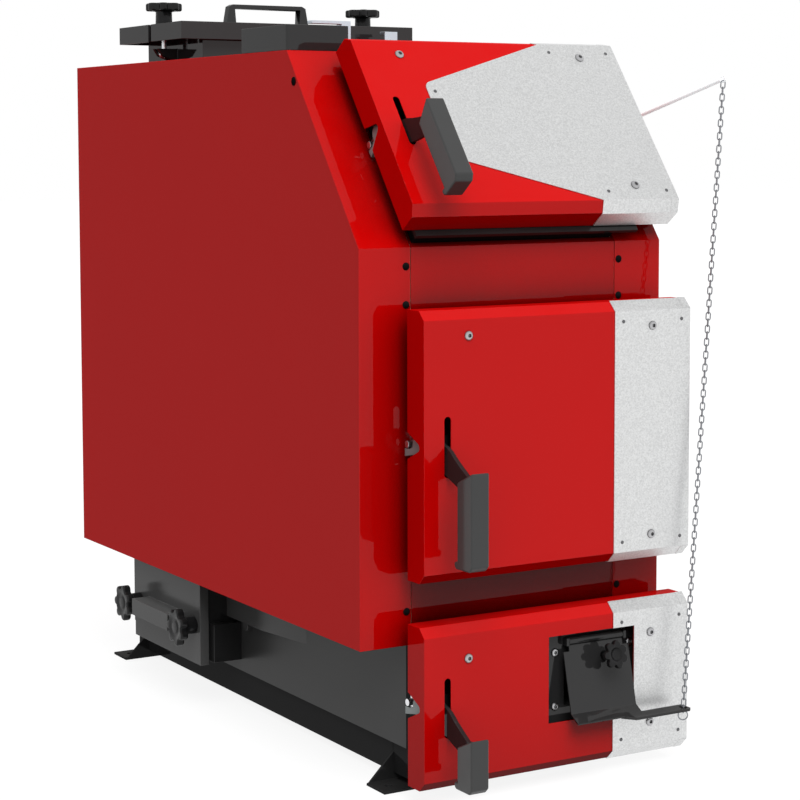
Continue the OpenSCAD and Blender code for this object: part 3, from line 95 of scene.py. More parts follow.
class BoilerCoats(bpy.types.PropertyGroup):
    enamel: colour_property("Enamel", "Colour of the glossy casing and door enamel", (0.6, 0.0006, 0.0006))
    plate: colour_property("Cover plates", "Colour of the doors' hammered cover plates", (0.67, 0.675, 0.675))
    iron_paint: colour_property(
        "Iron paint", "Colour of the heat-proof paint on frames and hatches", (0.02, 0.02, 0.0205))
    body_paint: colour_property("Body paint", "Colour of the paint on the welded body", (0.05, 0.05, 0.05))
    frame_paint: colour_property("Frame paint", "Colour of the base frame's paint", (0.021, 0.021, 0.0215))
    moulding: colour_property("Mouldings", "Colour of the moulded grips", (0.034, 0.0345, 0.0345))
    knob: colour_property("Knobs", "Colour of the star knobs and button bolts", (0.008, 0.008, 0.0085))
    coat_weight: share_property("Gloss", "Weight of the clear gloss over the enamel", 0.055)
    coat_roughness: share_property("Gloss roughness", "Roughness of the enamel's gloss", 0.025)
    # Corner, panel and door shade and corner depth set painted shade: the enamel darkens in gaps and corners
    corner_shade: share_property("Corner shade", "Tone of the casing's enamel deep in gaps", 0.4)
    panel_shade: share_property("Panel shade", "Tone of the front panels' enamel deep in gaps", 0.1)
    door_shade: share_property("Door shade", "Tone of the doors' enamel deep in corners", 0.7)
    corner_depth: length_property("Corner depth", "How far a corner darkens the enamel", 0.22, 0.01, 1)


class BoilerSizes(bpy.types.PropertyGroup):
    sheet_round: length_property("Sheet edge", "Radius of the edges of folded sheet", 1.1*MM)
    iron_round: length_property("Plate edge", "Radius of the edges of cut and welded plate", 0.7*MM)
    grip_round: length_property("Grip edge", "Radius of the edges of the moulded grips", 2.4*MM)
    knob_lobes: bpy.props.IntProperty(
        name="Knob lobes", description="Lobes round each star knob", min=3, max=12, default=7)
    knob_rim: length_property("Knob rim", "Radius of the star knobs' rounded rim", 3*MM, 0.0005, 0.006)
    seal_thickness: share_property("Seal strands", "How far the seals' strands stand out", 0.12, 0.5)


class BoilerStudio(bpy.types.PropertyGroup):
    key: share_property("Key lamp", "Strength of the broad lamp in front and above", 2.4, 20)
    key_spread: angle_property("Key spread", "How broad the key lamp is, as an angle", 42, min=0, max=math.pi)
    sky: share_property("Sky", "Strength of the soft light from above", 0.72, 2)
    lens: bpy.props.FloatProperty(
        name="Lens", description="Focal length in millimetres on a 36 mm sensor",
        min=20, max=300, default=95.36)
    azimuth: angle_property("Azimuth", "Turn of the camera to the left of the front", 30.55)
    pitch: angle_property("Pitch", "How far the camera looks down", 4.7)


# Shared shader effects, each a node group that is built once

def feed(tree, socket, value):
    """Links a socket to another one, or gives it a plain value."""
    if isinstance(value, bpy.types.NodeSocket):
        tree.links.new(value, socket)
    else:
        socket.default_value = value


def add_node(tree, kind, **values):
    """A shader node of this kind. Each value feeds the socket of its name, with underscores for
    spaces, and one that names no socket is a setting."""
    node = tree.nodes.new("ShaderNode" + kind)
    for key, value in values.items():
        socket = node.inputs.get(key.replace("_", " "))
        if socket is None:
            setattr(node, key, value)
        else:
            feed(tree, socket, value)
    return node


def math_node(tree, operation, first, second):
    """Output of one arithmetic node; either operand is a socket or a number."""
    node = add_node(tree, "Math", operation=operation)
    for socket, value in zip(node.inputs, (first, second)):
        feed(tree, socket, value)
    return node.outputs[0]


def blend(tree, kind, spots, values):
    """Output of a mixing node whose factor and two inputs stand at these spots."""
    node = add_node(tree, kind)
    for spot, value in zip(spots, values):
        feed(tree, node.inputs[spot], value)
    return node.outputs[0]


def noise(tree, vector, scale, detail=2.0, roughness=0.5):
    """Output of a noise texture, from 0 to 1 about a mean of a half."""
    return add_node(tree, "TexNoise", Vector=vector, Scale=scale, Detail=detail,
                    Roughness=roughness).outputs["Fac"]


def remap(tree, value, low, high, to_low, to_high):
    """Value carried from the range low..high to the range to_low..to_high, and held there."""
    return add_node(tree, "MapRange", Value=value, From_Min=low, From_Max=high, To_Min=to_low,
                    To_Max=to_high).outputs["Result"]


def spread_about(tree, value, mean, spread):
    """What the value is off its mean, times the spread."""
    return math_node(tree, "MULTIPLY", math_node(tree, "SUBTRACT", value, mean), spread)


def shader_group(name, outputs, **values):
    """A node group that reads a vector and these numbers, as (group, its input sockets in that
    order, its output node)."""
    group = bpy.data.node_groups.new(name, "ShaderNodeTree")
    new_socket = group.interface.new_socket
    new_socket("Vector", in_out="INPUT", socket_type="NodeSocketVector")
    for key, value in values.items():
        label = key.replace("_", " ")
        new_socket(label, in_out="INPUT", socket_type="NodeSocketFloat").default_value = value
    for label in outputs:
        new_socket(label, in_out="OUTPUT", socket_type="NodeSocketFloat")
    given = group.nodes.new("NodeGroupInput")
    return group, list(given.outputs)[:1 + len(values)], group.nodes.new("NodeGroupOutput")


def ripple_group():
    """Sprayed coat: a long soft ripple and a short one, as height and as a tone about 1."""
    group, (vector, scale, spread), result = shader_group(
        "sprayed_ripple", ("Height", "Tone"), Scale=60.0, Tone_Spread=0.04)
    long_wave = noise(group, vector, scale, 1.0)
    short_wave = noise(group, vector, math_node(group, "MULTIPLY", scale, 7.0), 3.0)
    faint = math_node(group, "MULTIPLY", short_wave, 0.35)
    feed(group, result.inputs["Height"], math_node(group, "ADD", long_wave, faint))
    patches = spread_about(group, noise(group, vector, 3.0, 2.0), 0.5, spread)
    feed(group, result.inputs["Tone"], math_node(group, "ADD", patches, 1.0))
    return group


def speckle_group():
    """Hammered metallic coat: cells of lighter and darker flake, with grain between them."""
    group, (vector, scale, contrast), result = shader_group(
        "flake_speckle", ("Tone", "Height"), Scale=700.0, Contrast=0.2)
    cells = add_node(group, "TexVoronoi", feature="F1", Vector=vector, Scale=scale)
    flake = add_node(group, "SeparateColor", Color=cells.outputs["Color"])
    grain = noise(group, vector, math_node(group, "MULTIPLY", scale, 0.45), 4.0)
    both = math_node(group, "ADD", flake.outputs["Red"], grain)
    tone = math_node(group, "ADD", spread_about(group, both, 1.0, contrast), 1.0)
    feed(group, result.inputs["Tone"], tone)
    feed(group, result.inputs["Height"], cells.outputs["Distance"])
    return group


def dust_group():
    """Settled dust: a mask that grows on faces that look up, broken by two sizes of patch."""
    group, (vector, amount), result = shader_group("settled_dust", ("Mask",), Amount=0.1)
    upward = add_node(group, "SeparateXYZ", Vector=add_node(group, "NewGeometry").outputs["Normal"])
    level = remap(group, upward.outputs["Z"], 0.2, 1.0, 0.15, 1.0)
    broken = remap(group, noise(group, vector, 18.0, 5.0, 0.6), 0.35, 0.75, 0.2, 1.0)
    mask = math_node(group, "MULTIPLY", level, broken)
    feed(group, result.inputs["Mask"], math_node(group, "MULTIPLY", mask, amount))
    return group


def grain_group():
    """Fine moulded or cast grain: pits from cells and a haze of noise, as height and roughness shift."""
    group, (vector, scale, spread), result = shader_group(
        "fine_grain", ("Height", "Shift"), Scale=900.0, Haze=0.08)
    cells = add_node(group, "TexVoronoi", feature="SMOOTH_F1", Vector=vector, Scale=scale)
    haze = noise(group, vector, 40.0, 4.0, 0.55)
    faint = math_node(group, "MULTIPLY", haze, 0.4)
    feed(group, result.inputs["Height"], math_node(group, "ADD", cells.outputs["Distance"], faint))
    feed(group, result.inputs["Shift"], spread_about(group, haze, 0.5, spread))
    return group


def strand_group():
    """Strands laid over each other: two slanting bands of waves, the higher one of which shows."""
    group, (vector, scale), result = shader_group("crossed_strands", ("Height", "Tone"), Scale=120.0)
    heights = [add_node(group, "TexWave", bands_direction=slant, Vector=vector, Scale=scale,
                        Distortion=2.0, Detail=2.0).outputs["Fac"] for slant in ("X", "Z")]
    top = math_node(group, "MAXIMUM", *heights)
    feed(group, result.inputs["Height"], top)
    feed(group, result.inputs["Tone"], remap(group, top, 0.0, 1.0, 0.7, 1.05))
    return group


class Finish:
    """One material with its Principled shader and the object coordinates that its effects read.
    Plain values for the shader's own sockets are given by name, with underscores for spaces."""

    groups = {}

    def __init__(self, name, **values):
        self.material = bpy.data.materials.new(name)
        self.material.use_nodes = True
        self.tree = self.material.node_tree
        self.shader = self.tree.nodes["Principled BSDF"]
        self.place = add_node(self.tree, "TexCoord").outputs["Object"]
        for key, value in values.items():
            self.shader.inputs[key.replace("_", " ")].default_value = value

    def effect(self, build, **values):
        """One shared effect with its own values; its group is built at its first use."""
        if build not in Finish.groups:
            Finish.groups[build] = build()
        return add_node(self.tree, "Group", node_tree=Finish.groups[build], Vector=self.place, **values)

    def toned(self, colour, tone):
        """The colour times a tone that changes over the surface."""
        mixed = add_node(self.tree, "VectorMath", operation="SCALE", Scale=tone)
        mixed.inputs[0].default_value = colour
        return mixed.outputs[0]

    def painted_corner_shade(self, reach, deepest):
        """Painted shade: a tone that falls from one to the deepest value where other faces stand within reach."""
        open_share = add_node(self.tree, "AmbientOcclusion", samples=8, Distance=reach)
        return remap(self.tree, open_share.outputs["AO"], 0.35, 1.0, deepest, 1.0)

    def driven(self, name, value):
        """One of the shader's own sockets, linked to a changing value."""
        self.tree.links.new(value, self.shader.inputs[name])
        return self

    def based(self, colour):
        """A changing colour, a socket, as the shader's base colour."""
        return self.driven("Base Color", colour)

    def dusted(self, colour, dust_colour, amount):
        """The colour, a socket, under settled dust; it becomes the shader's base colour."""
        mask = self.effect(dust_group, Amount=amount).outputs["Mask"]
        mix = add_node(self.tree, "Mix", data_type="RGBA", Factor=mask)
        self.tree.links.new(colour, mix.inputs[6])
        mix.inputs[7].default_value = (*dust_colour, 1)
        return self.based(mix.outputs[2])

    def rough(self, value, low, high, to_low, to_high):
        """Roughness that follows a changing value."""
        return self.driven("Roughness", remap(self.tree, value, low, high, to_low, to_high))

    def bumped(self, height, depth, strength=1.0):
        """Relief of this depth in metres."""
        bump = add_node(self.tree, "Bump", Strength=strength, Distance=depth, Height=height)
        return self.driven("Normal", bump.outputs["Normal"])

    def grained(self, colour, grain, ripple, rough, relief, dust=None, corner=1.0):
        """The build-up that most coats share, as the finished material. Grain, as scale, haze and
        reach, sets the roughness and the relief, as depth and strength. A ripple, as scale and
        spread, and a corner tone below one, which is painted shade in corners, change the colour, and dust lies
        over it."""
        scale, haze, reach = grain
        shine = self.effect(grain_group, Scale=scale, Haze=haze)
        tone = self.effect(ripple_group, Scale=ripple[0], Tone_Spread=ripple[1]).outputs["Tone"]
        if corner < 1:
            # painted shade: the colour darkens where other faces stand within 12 mm
            tone = math_node(self.tree, "MULTIPLY", tone, self.painted_corner_shade(12*MM, corner))
        toned = self.toned(colour, tone)
        coated = self.dusted(toned, *dust) if dust else self.based(toned)
        coated.rough(shine.outputs["Shift"], -reach, reach, *rough)
        return coated.bumped(shine.outputs["Height"], *relief).material


def enamel_finish(name, corner):
    """Red enamel under a thin gloss. Painted shade darkens it down to the corner tone in corners and gaps."""
    coats = bpy.context.scene.boiler_coats
    finish = Finish(name, Roughness=0.5, Specular_IOR_Level=0.0, Coat_Weight=coats.coat_weight,
                    Coat_Roughness=coats.coat_roughness, Coat_IOR=3.0)
    ripple = finish.effect(ripple_group, Scale=45.0, Tone_Spread=0.05)
    # painted shade in the enamel's corners and gaps
    shade = finish.painted_corner_shade(coats.corner_depth, corner)
    tone = math_node(finish.tree, "MULTIPLY", ripple.outputs["Tone"], shade)
    finish.dusted(finish.toned(coats.enamel, tone), (0.5, 0.3, 0.28), 0.015)
    return finish.bumped(ripple.outputs["Height"], 0.00001).material


def plate_finish(name, colour):
    """Hammered silver coat."""
    finish = Finish(name, Metallic=0.9, Specular_IOR_Level=0.3)
    speckle = finish.effect(speckle_group, Scale=620.0, Contrast=0.2)
    finish.based(finish.toned(colour, speckle.outputs["Tone"]))
    finish.rough(speckle.outputs["Tone"], 0.85, 1.15, 0.5, 0.36)
    return finish.bumped(speckle.outputs["Height"], 0.00006, 0.6).material


def iron_paint_finish(name, colour, gloss=0.28, dust=0.05, haze=0.04):
    """Dark paint: a dull colour under a thin smooth gloss that mirrors what stands close to it."""
    finish = Finish(name, Specular_IOR_Level=0.0, Coat_Weight=gloss, Coat_Roughness=haze, Coat_IOR=1.9)
    return finish.grained(colour, (1100.0, 0.3, 0.1), (30.0, 0.25), (0.5, 0.65), (0.00006, 0.5),
                          ((0.22, 0.2, 0.18), dust))


def moulded_finish(name, colour, roughness, grain_size, gloss=0.2):
    """Moulded plastic."""
    finish = Finish(name, Specular_IOR_Level=gloss, Coat_Weight=gloss, Coat_Roughness=0.08, Coat_IOR=1.9)
    return finish.grained(colour, (grain_size, 0.2, 0.1), (25.0, 0.12), (roughness - 0.08, roughness + 0.08),
                          (0.00005, 0.5), ((0.2, 0.19, 0.18), 0.04))


def zinc_finish(name="bright_zinc", colour=(0.72, 0.72, 0.74), metal=1.0, corner=1.0):
    """Plated steel. A corner tone below one paints shade on it where it meets what it's screwed to."""
    return Finish(name, Metallic=metal).grained(
        colour, (500.0, 0.5, 0.2), (90.0, 0.3), (0.22, 0.42), (0.00002, 0.4), corner=corner)


def firebrick_finish():
    """Fired clay, sooted from above."""
    finish = Finish("fired_clay", Specular_IOR_Level=0.15)
    speckle = finish.effect(speckle_group, Scale=260.0, Contrast=0.35)
    grain = finish.effect(grain_group, Scale=180.0, Haze=0.5)
    finish.dusted(finish.toned((0.56, 0.43, 0.3), speckle.outputs["Tone"]), (0.06, 0.055, 0.05), 0.8)
    finish.rough(grain.outputs["Shift"], -0.3, 0.3, 0.82, 0.97)
    return finish.bumped(grain.outputs["Height"], 0.0012, 0.7).material


def fibre_finish(name, colour, scale, sheen, depth, strength):
    """Wool or rope of crossed strands."""
    finish = Finish(name, Specular_IOR_Level=0.1, Sheen_Weight=sheen)
    strands = finish.effect(strand_group, Scale=scale)
    finish.based(finish.toned(colour, strands.outputs["Tone"]))
    finish.rough(strands.outputs["Tone"], 0.7, 1.05, 0.98, 0.85)
    return finish.bumped(strands.outputs["Height"], depth, strength).material


# Meshes

def coat(node, material):
    """A CAD node keeps its shape and takes a material in each of its slots."""
    for slot in frame["nodes"][node].material_slots:
        slot.material = material


def vertex_places(mesh):
    """All vertex places of a mesh as an array of (x, y, z)."""
    places = np.empty(len(mesh.vertices)*3)
    mesh.vertices.foreach_get("co", places)
    return places.reshape(-1, 3)


def triangles(mesh):
    """All triangles of a mesh as an array of three vertex numbers."""
    corners = np.empty(len(mesh.loops), np.int64)
    mesh.loops.foreach_get("vertex_index", corners)
    return corners.reshape(-1, 3)


def welded(node):
    """A node's places with doubles joined, and its triangles on them. Places that agree to a
    hundredth of a millimetre are one."""
    mesh = frame["nodes"][node].data
    places, first, same = np.unique(np.round(vertex_places(mesh)/(0.01*MM)), axis=0,
                                    return_index=True, return_inverse=True)
    return vertex_places(mesh)[first], same.ravel()[triangles(mesh)]


def solids(node):
    """The places of each separate solid in a node. Every triangle passes the lowest label of its
    corners on to all three, until no label changes."""
    places, corners = welded(node)
    label = np.arange(len(places))
    while True:
        before = label.copy()
        np.minimum.at(label, corners.ravel(), np.repeat(label[corners].min(axis=1), 3))
        label = label[label]
        if (label == before).all():
            return [places[label == k] for k in np.unique(label)]


def settle(piece, node, material, stands_in=True):
    """Gives a finished piece its material and the body of a node, which it stands in for or only
    joins."""
    body, slot, replaced = BODY_OF[node], SLOT_OF[node], (node,) if stands_in else ()
    bpy.context.scene.collection.objects.link(piece)
    piece.data.materials.append(material)
    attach(piece, body)
    if replaced:
        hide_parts(*replaced)
    return piece


def opened(mesh):
    """A mesh opened for editing."""
    faces = bmesh.new()
    faces.from_mesh(mesh)
    return faces


def written(faces, mesh):
    """Writes an edited mesh back, all of it smooth."""
    faces.to_mesh(mesh)
    faces.free()
    mesh.polygons.foreach_set("use_smooth", [True]*len(mesh.polygons))
    return mesh


def merged(parts):
    """Several arrays of places, each with its quads, as the places and faces of one mesh."""
    faces, count = [], 0
    for places, quads in parts:
        faces += (quads + count).tolist()
        count += len(places)
    return np.concatenate([places for places, quads in parts]), faces


def round_edges(piece, width, segments):
    """Bevels every sharp edge and weights the normals towards the larger faces."""
    bevel = piece.modifiers.new("edge_round", "BEVEL")
    bevel.width = width
    bevel.segments = segments
    bevel.limit_method = "ANGLE"
    bevel.angle_limit = math.radians(33)
    bevel.use_clamp_overlap = False
    weighted = piece.modifiers.new("face_weight", "WEIGHTED_NORMAL")
    weighted.keep_sharp = False


def rounded_piece(node, material, width, segments=2):
    """A copy of a rigid node, its triangles joined to whole faces, with its edges rounded."""
    places, corners = welded(node)
    corners = corners[(corners[:, 0] != corners[:, 1]) & (corners[:, 1] != corners[:, 2])
                      & (corners[:, 0] != corners[:, 2])]
    mesh = bpy.data.meshes.new(node + "_sheet")
    mesh.from_pydata(places.tolist(), [], corners.tolist())
    faces = opened(mesh)
    bmesh.ops.dissolve_limit(faces, angle_limit=math.radians(0.4), verts=faces.verts, edges=faces.edges)
    piece = settle(bpy.data.objects.new(node + "_finished", written(faces, mesh)), node, material)
    round_edges(piece, width, segments)
    return piece


def grid_faces(rows, columns, close_rows, close_columns):
    """Quads of a grid of rows times columns, which may close on itself either way."""
    r = np.arange(rows if close_rows else rows - 1)
    c = np.arange(columns if close_columns else columns - 1)
    r, c = [a.ravel() for a in np.meshgrid(r, c, indexing="ij")]
    up, over = (r + 1) % rows, (c + 1) % columns
    return np.stack([r*columns + c, r*columns + over, up*columns + over, up*columns + c], axis=1)


def mesh_piece(name, places, faces):
    """A smooth object from arrays of places and faces, its faces turned outwards."""
    mesh = bpy.data.meshes.new(name)
    mesh.from_pydata(places.tolist(), [], faces)
    faces = opened(mesh)
    bmesh.ops.remove_doubles(faces, verts=faces.verts, dist=0.002*MM)
    bmesh.ops.recalc_face_normals(faces, faces=faces.faces)
    return bpy.data.objects.new(name, written(faces, mesh))


def door_axes(door):
    """A door's own directions as rows: along its width, out of its face and up it."""
    upward = np.array(JOINT[door + "_door_hinge"]["axis"], float)
    return np.array([(1.0, 0.0, 0.0), np.cross(upward, (-1.0, 0.0, 0.0)), upward])


def basis(axis):
    """Two unit vectors square to the axis and to each other, and the axis, as rows."""
    axis = np.array(axis, float)/np.linalg.norm(axis)
    side = np.cross(axis, (0.0, 0.0, 1.0) if abs(axis[2]) < 0.9 else (1.0, 0.0, 0.0))
    side /= np.linalg.norm(side)
    return np.array([side, np.cross(axis, side), axis])


def turned(radius, height, middle, axis):
    """Places of a surface turned about an axis: radius is an array of rings times angles, and
    height is one value for each ring, along the axis from the middle."""
    angle = np.linspace(0, TURN, radius.shape[1], endpoint=False)
    flat = np.stack([radius*np.cos(angle), radius*np.sin(angle),
                     np.broadcast_to(np.asarray(height)[:, None], radius.shape)], axis=2)
    return (flat @ basis(axis) + np.array(middle)).reshape(-1, 3)


def arc(centre, radius, start, end, count):
    """Points of an arc in the plane, angles in degrees."""
    a = np.radians(np.linspace(start, end, count))
    return np.stack([centre[0] + radius*np.cos(a), centre[1] + radius*np.sin(a)], axis=1)


def lobed_outline(radius, lobe, count, angles):
    """Distance of a lobed disc's edge from its middle: the farther of the inner circle and the
    nearest lobe's circle, with the corner between them eased."""
    pitch = TURN/count
    away = (angles + pitch/2) % pitch - pitch/2
    inner = radius - lobe
    inside = np.clip(lobe**2 - (inner*np.sin(away))**2, 0, None)
    outer = inner*np.cos(away) + np.sqrt(inside)
    ease = 0.12*lobe
    return ease*np.logaddexp(inner*0.985/ease, outer/ease)


def lobed_knob(name, middle, axis, profile, lobes, lobe, full):
    """A knob turned from its profile. Rings near the disc's radius follow the lobed outline, and
    those near the hub stay round: each ring's share of the lobes grows with its radius."""
    angles = np.linspace(0, TURN, 16*lobes, endpoint=False)
    outline = lobed_outline(full, lobe, lobes, angles)/full
    share = profile[:, 2:3]
    radius = profile[:, 0:1]*(1 + share*(outline[None, :] - 1))
    places = turned(radius, profile[:, 1], middle, axis)
    rows, columns = radius.shape
    faces = grid_faces(rows, columns, False, True).tolist()
    faces.append(list(range(columns))[::-1])
    faces.append(list(range((rows - 1)*columns, rows*columns)))
    return mesh_piece(name, places, faces)


def headings(path):
    """Unit directions along a closed path, at its points."""
    ahead = np.roll(path, -1, axis=0) - np.roll(path, 1, axis=0)
    return ahead/np.linalg.norm(ahead, axis=1)[:, None]


def tube(path, radius, sides, across):
    """Places of a closed tube round a flat closed path: each ring spans the path's own outward
    direction and the direction across its plane."""
    outward = np.cross(headings(path), across)
    angle = np.linspace(0, TURN, sides, endpoint=False)
    ring = outward[:, None, :]*np.cos(angle)[None, :, None] + np.array(across)*np.sin(angle)[None, :, None]
    return (path[:, None, :] + np.asarray(radius).reshape(-1, 1, 1)*ring).reshape(-1, 3)


# Operators, one for each group of pieces

class BOILER_OT_coat_casing(bpy.types.Operator):
    """Coats the folded sheet casing and finishes its black button bolts"""
    bl_idname = "boiler.coat_casing"
    bl_label = "Casing"

    def execute(self, context):
        sizes = context.scene.boiler_sizes
        coats = context.scene.boiler_coats
        # Copies of the enamel differ only in how deep their painted shade goes; the front panels' deepest one
        # stands for the doors' shadow on them
        enamel = enamel_finish("casing_enamel", coats.corner_shade)
        door_enamel = enamel_finish("door_enamel", coats.door_shade)
        for node in ("left_casing", "right_casing", "top_panel", "rear_panel"):
            rounded_piece(node, enamel, 0.5*sizes.sheet_round)
        panel_enamel_deep_shade = enamel_finish("panel_enamel_deep_shade", coats.panel_shade)
        rounded_piece("front_panels", panel_enamel_deep_shade, 0.5*sizes.sheet_round)
        for door in DOORS:
            rounded_piece(door + "_door_shell", door_enamel, 0.5*sizes.sheet_round, 3)
        buttons = moulded_finish("black_buttons", coats.knob, 0.6, 900.0, 0.0)
        rounded_piece("casing_screws", buttons, 0.3*MM)
        self.plug(buttons)
        return {"FINISHED"}

    def plug(self, material):
        """Black plug in the small hole near the top of the left side, turned from rings that are
        given as radius and height in millimetres."""
        place, sides = (-0.2935, 0.982), 32
        rings = MM*np.array([(0.2, -2), (3.4, -2), (3.4, 0.1), (6.2, 0.1), (5.9, 0.8), (3.6, 1.3),
                             (0.05, 1.5)])
        left = vertex_places(frame["nodes"]["left_casing"].data)[:, 0].min()
        places = turned(np.repeat(rings[:, :1], sides, axis=1), rings[:, 1], (left, *place), (-1, 0, 0))
        piece = mesh_piece("casing_plug", places, grid_faces(len(rings), sides, False, True).tolist())
        settle(piece, "casing_screws", material, False)


class BOILER_OT_fit_cover_plates(bpy.types.Operator):
    """Gives the doors' cover plates their hammered coat and thin bright edges"""
    bl_idname = "boiler.fit_cover_plates"
    bl_label = "Cover plates"

    def execute(self, context):
        coats = context.scene.boiler_coats
        hammered = plate_finish("hammered_plate", coats.plate)
        for door in DOORS:
            piece = rounded_piece(door + "_door_cover", hammered, 0.35*MM)
            if door == "upper":
                self.round_tip(piece, Vector(door_axes(door)[1]))
            self.fold(door, hammered)
        return {"FINISHED"}

    def round_tip(self, piece, outward):
        """The plate's two left corners are round: the short edges there, which run through the
        sheet, are bevelled in the mesh itself."""
        faces = opened(piece.data)
        left = min(corner.co.x for corner in faces.verts) + 0.2*MM
        through = [edge for edge in faces.edges if all(corner.co.x < left for corner in edge.verts)
                   and abs((edge.verts[1].co - edge.verts[0].co).normalized().dot(outward)) > 0.9]
        bmesh.ops.bevel(faces, geom=through, offset=8*MM, offset_type="OFFSET", segments=8, profile=0.5,
                        affect="EDGES")
        written(faces, piece.data)

    def fold(self, door, material):
        """What the plate folds over the shell: its two right corners, and a thin strip along the
        shell's underside from the plate's bevel to near the shell's open rear."""
        axes = door_axes(door)
        cover = vertex_places(frame["nodes"][door + "_door_cover"].data) @ axes.T
        shell = vertex_places(frame["nodes"][door + "_door_shell"].data) @ axes.T
        thin = 1.45*MM
        left, right = cover[cover[:, 2] < cover[:, 2].min() + 5*MM][:, 0].min(), cover[:, 0].max()
        front, bevel_end = shell[:, 1].max(), cover[:, 1].min()
        bevel = front - bevel_end
        rear = shell[:, 1].min() + thin
        slant = thin*math.sqrt(2)
        bend = thin*math.tan(math.radians(22.5))
        for end, side in ((shell[:, 2].min(), -1), (shell[:, 2].max(), 1)):
            start = end - side*bevel
            corner = [(front, start), (front + thin, start + side*bend), (bevel_end, end + side*slant),
                      (bevel_end, end)]
            self.strip(door + "_corner_fold", corner, right - bevel, right, door, material)
            if side < 0:
                under = [(rear, end), (bevel_end, end), (bevel_end, end - thin), (rear, end - thin)]
                self.strip(door + "_under_fold", under, left, right, door, material)

    def strip(self, name, section, left, right, door, material):
        """A straight strip from left to right with this section, given as points out of the door's
        face and up it."""
        places = np.array([(x, *point) for x in (left, right) for point in section]) @ door_axes(door)
        faces = [(0, 1, 2, 3), (4, 5, 6, 7)] + [(k, (k + 1) % 4, (k + 1) % 4 + 4, k + 4) for k in range(4)]
        piece = settle(mesh_piece(name, places, faces), door + "_door_cover", material, False)
        round_edges(piece, 0.3*MM, 2)


class BOILER_OT_mould_grips(bpy.types.Operator):
    """Rounds the moulded grips and paints their latch levers"""
    bl_idname = "boiler.mould_grips"
    bl_label = "Grips and latches"

    def execute(self, context):
        coats = context.scene.boiler_coats
        sizes = context.scene.boiler_sizes
        plastic = moulded_finish("moulded_grip", coats.moulding, 0.45, 1300.0)
        lever = iron_paint_finish("latch_paint", coats.iron_paint, 0.28, 0.02)
        # the hook's plating carries painted shade where other faces stand close to it
        plated = zinc_finish("plated_hook", (0.25, 0.28, 0.28), 0.0, 0.3)
        for door in DOORS:
            rounded_piece(door + "_grip", plastic, sizes.grip_round, 4)
            latch = rounded_piece(door + "_latch", lever, 0.5*MM)
            self.plate_hook(latch, plated)
        return {"FINISHED"}

    def plate_hook(self, latch, plated):
        """The hook at the shaft's left end is plated: its faces take the second material."""
        latch.data.materials.append(plated)
        left = vertex_places(latch.data)[:, 0].min()
        for face in latch.data.polygons:
            face.material_index = int(face.center.x < left + 7*MM)


class BOILER_OT_turn_star_knobs(bpy.types.Operator):
    """Builds the four star knobs and the air flap's knob, with rounded lobes and a sunk cap"""
    bl_idname = "boiler.turn_star_knobs"
    bl_label = "Star knobs"

    def execute(self, context):
        sizes = context.scene.boiler_sizes
        plastic = moulded_finish("star_knob_plastic", context.scene.boiler_coats.knob, 0.4, 1000.0, 0.1)
        kinds = [(node, self.star_profile, 1, sizes.knob_lobes, 0.22)
                 for node in ("top_knob_left", "top_knob_right", "side_knob_rear", "side_knob_front")]
        kinds.append(("flap_knob", self.flap_profile, 1.12, 7, 0.26))
        for node, profile, widen, lobes, lobe in kinds:
            axis, middle, full, height = self.stand(node)
            full *= widen
            rings = np.array(profile(full, height, sizes.knob_rim))
            piece = lobed_knob(node + "_moulded", middle, axis, rings, lobes, lobe*full, full)
            settle(piece, node, plastic)
        return {"FINISHED"}

    def stand(self, node):
        """A knob's axis, the middle of its foot, its radius and its height."""
        joint = JOINT[node + "_turn"]
        axis = np.array(joint["axis"], float)
        places = vertex_places(frame["nodes"][node].data)
        along = places @ axis
        middle = np.array(joint["pos_m"])
        middle = middle + axis*(along.min() - middle @ axis)
        across = (places - middle) - np.outer(along - along.min(), axis)
        return axis, middle, np.linalg.norm(across, axis=1).max(), along.max() - along.min()

    def rim(self, full, disc, height, round_off):
        """The disc's rounded edge, from its underside to its top."""
        return [(x, y, 1) for low, start in ((disc + round_off, -90), (height - round_off, 0))
                for x, y in arc((full - round_off, low), round_off, start, start + 90, 5)]

    def flap_profile(self, full, height, rim):
        """Profile in radius, height and share of the lobes: nut, screw, collar and a thick disc
        that is sunk in its middle. Its rim has a radius of its own."""
        disc = height - 9*MM
        return [(0.1*full, 0, 0), (6*MM, 0, 0), (6*MM, 2.7*MM, 0), (4*MM, 2.7*MM, 0), (4*MM, 5.8*MM, 0),
                (7*MM, 5.8*MM, 0), (7*MM, disc - 1*MM, 0), (8.5*MM, disc, 0.2),
                (0.8*full, disc + 0.3*MM, 0.8),
                *self.rim(full, disc, height, 2.5*MM),
                (0.7*full, height - 0.2*MM, 0.3), (0.52*full, height - 0.5*MM, 0),
                (0.46*full, height - 1.2*MM, 0), (0.44*full, height - 5*MM, 0),
                (0.05*full, height - 5.2*MM, 0)]

    def star_profile(self, full, height, rim):
        """The same for a star knob: hub, rounded rim, dished top with a small cap."""
        hub, disc = 0.45*full, height*22/34.7
        return [(0.16*full, 0, 0), (hub, 0, 0), (hub*1.02, 0.04*height, 0), (hub, 0.3*height, 0),
                (hub*0.98, disc - 2*MM, 0), (hub + 1.5*MM, disc, 0.2), (0.8*full, disc + 0.3*MM, 0.7),
                *self.rim(full, disc, height, rim),
                (0.78*full, height - 0.1*MM, 0.5), (0.6*full, height - 0.2*MM, 0.1),
                (0.5*full, height - 1.6*MM, 0), (0.36*full, height - 2*MM, 0),
                (0.33*full, height - 0.9*MM, 0), (0.28*full, height - 0.5*MM, 0),
                (0.02*full, height - 0.3*MM, 0)]


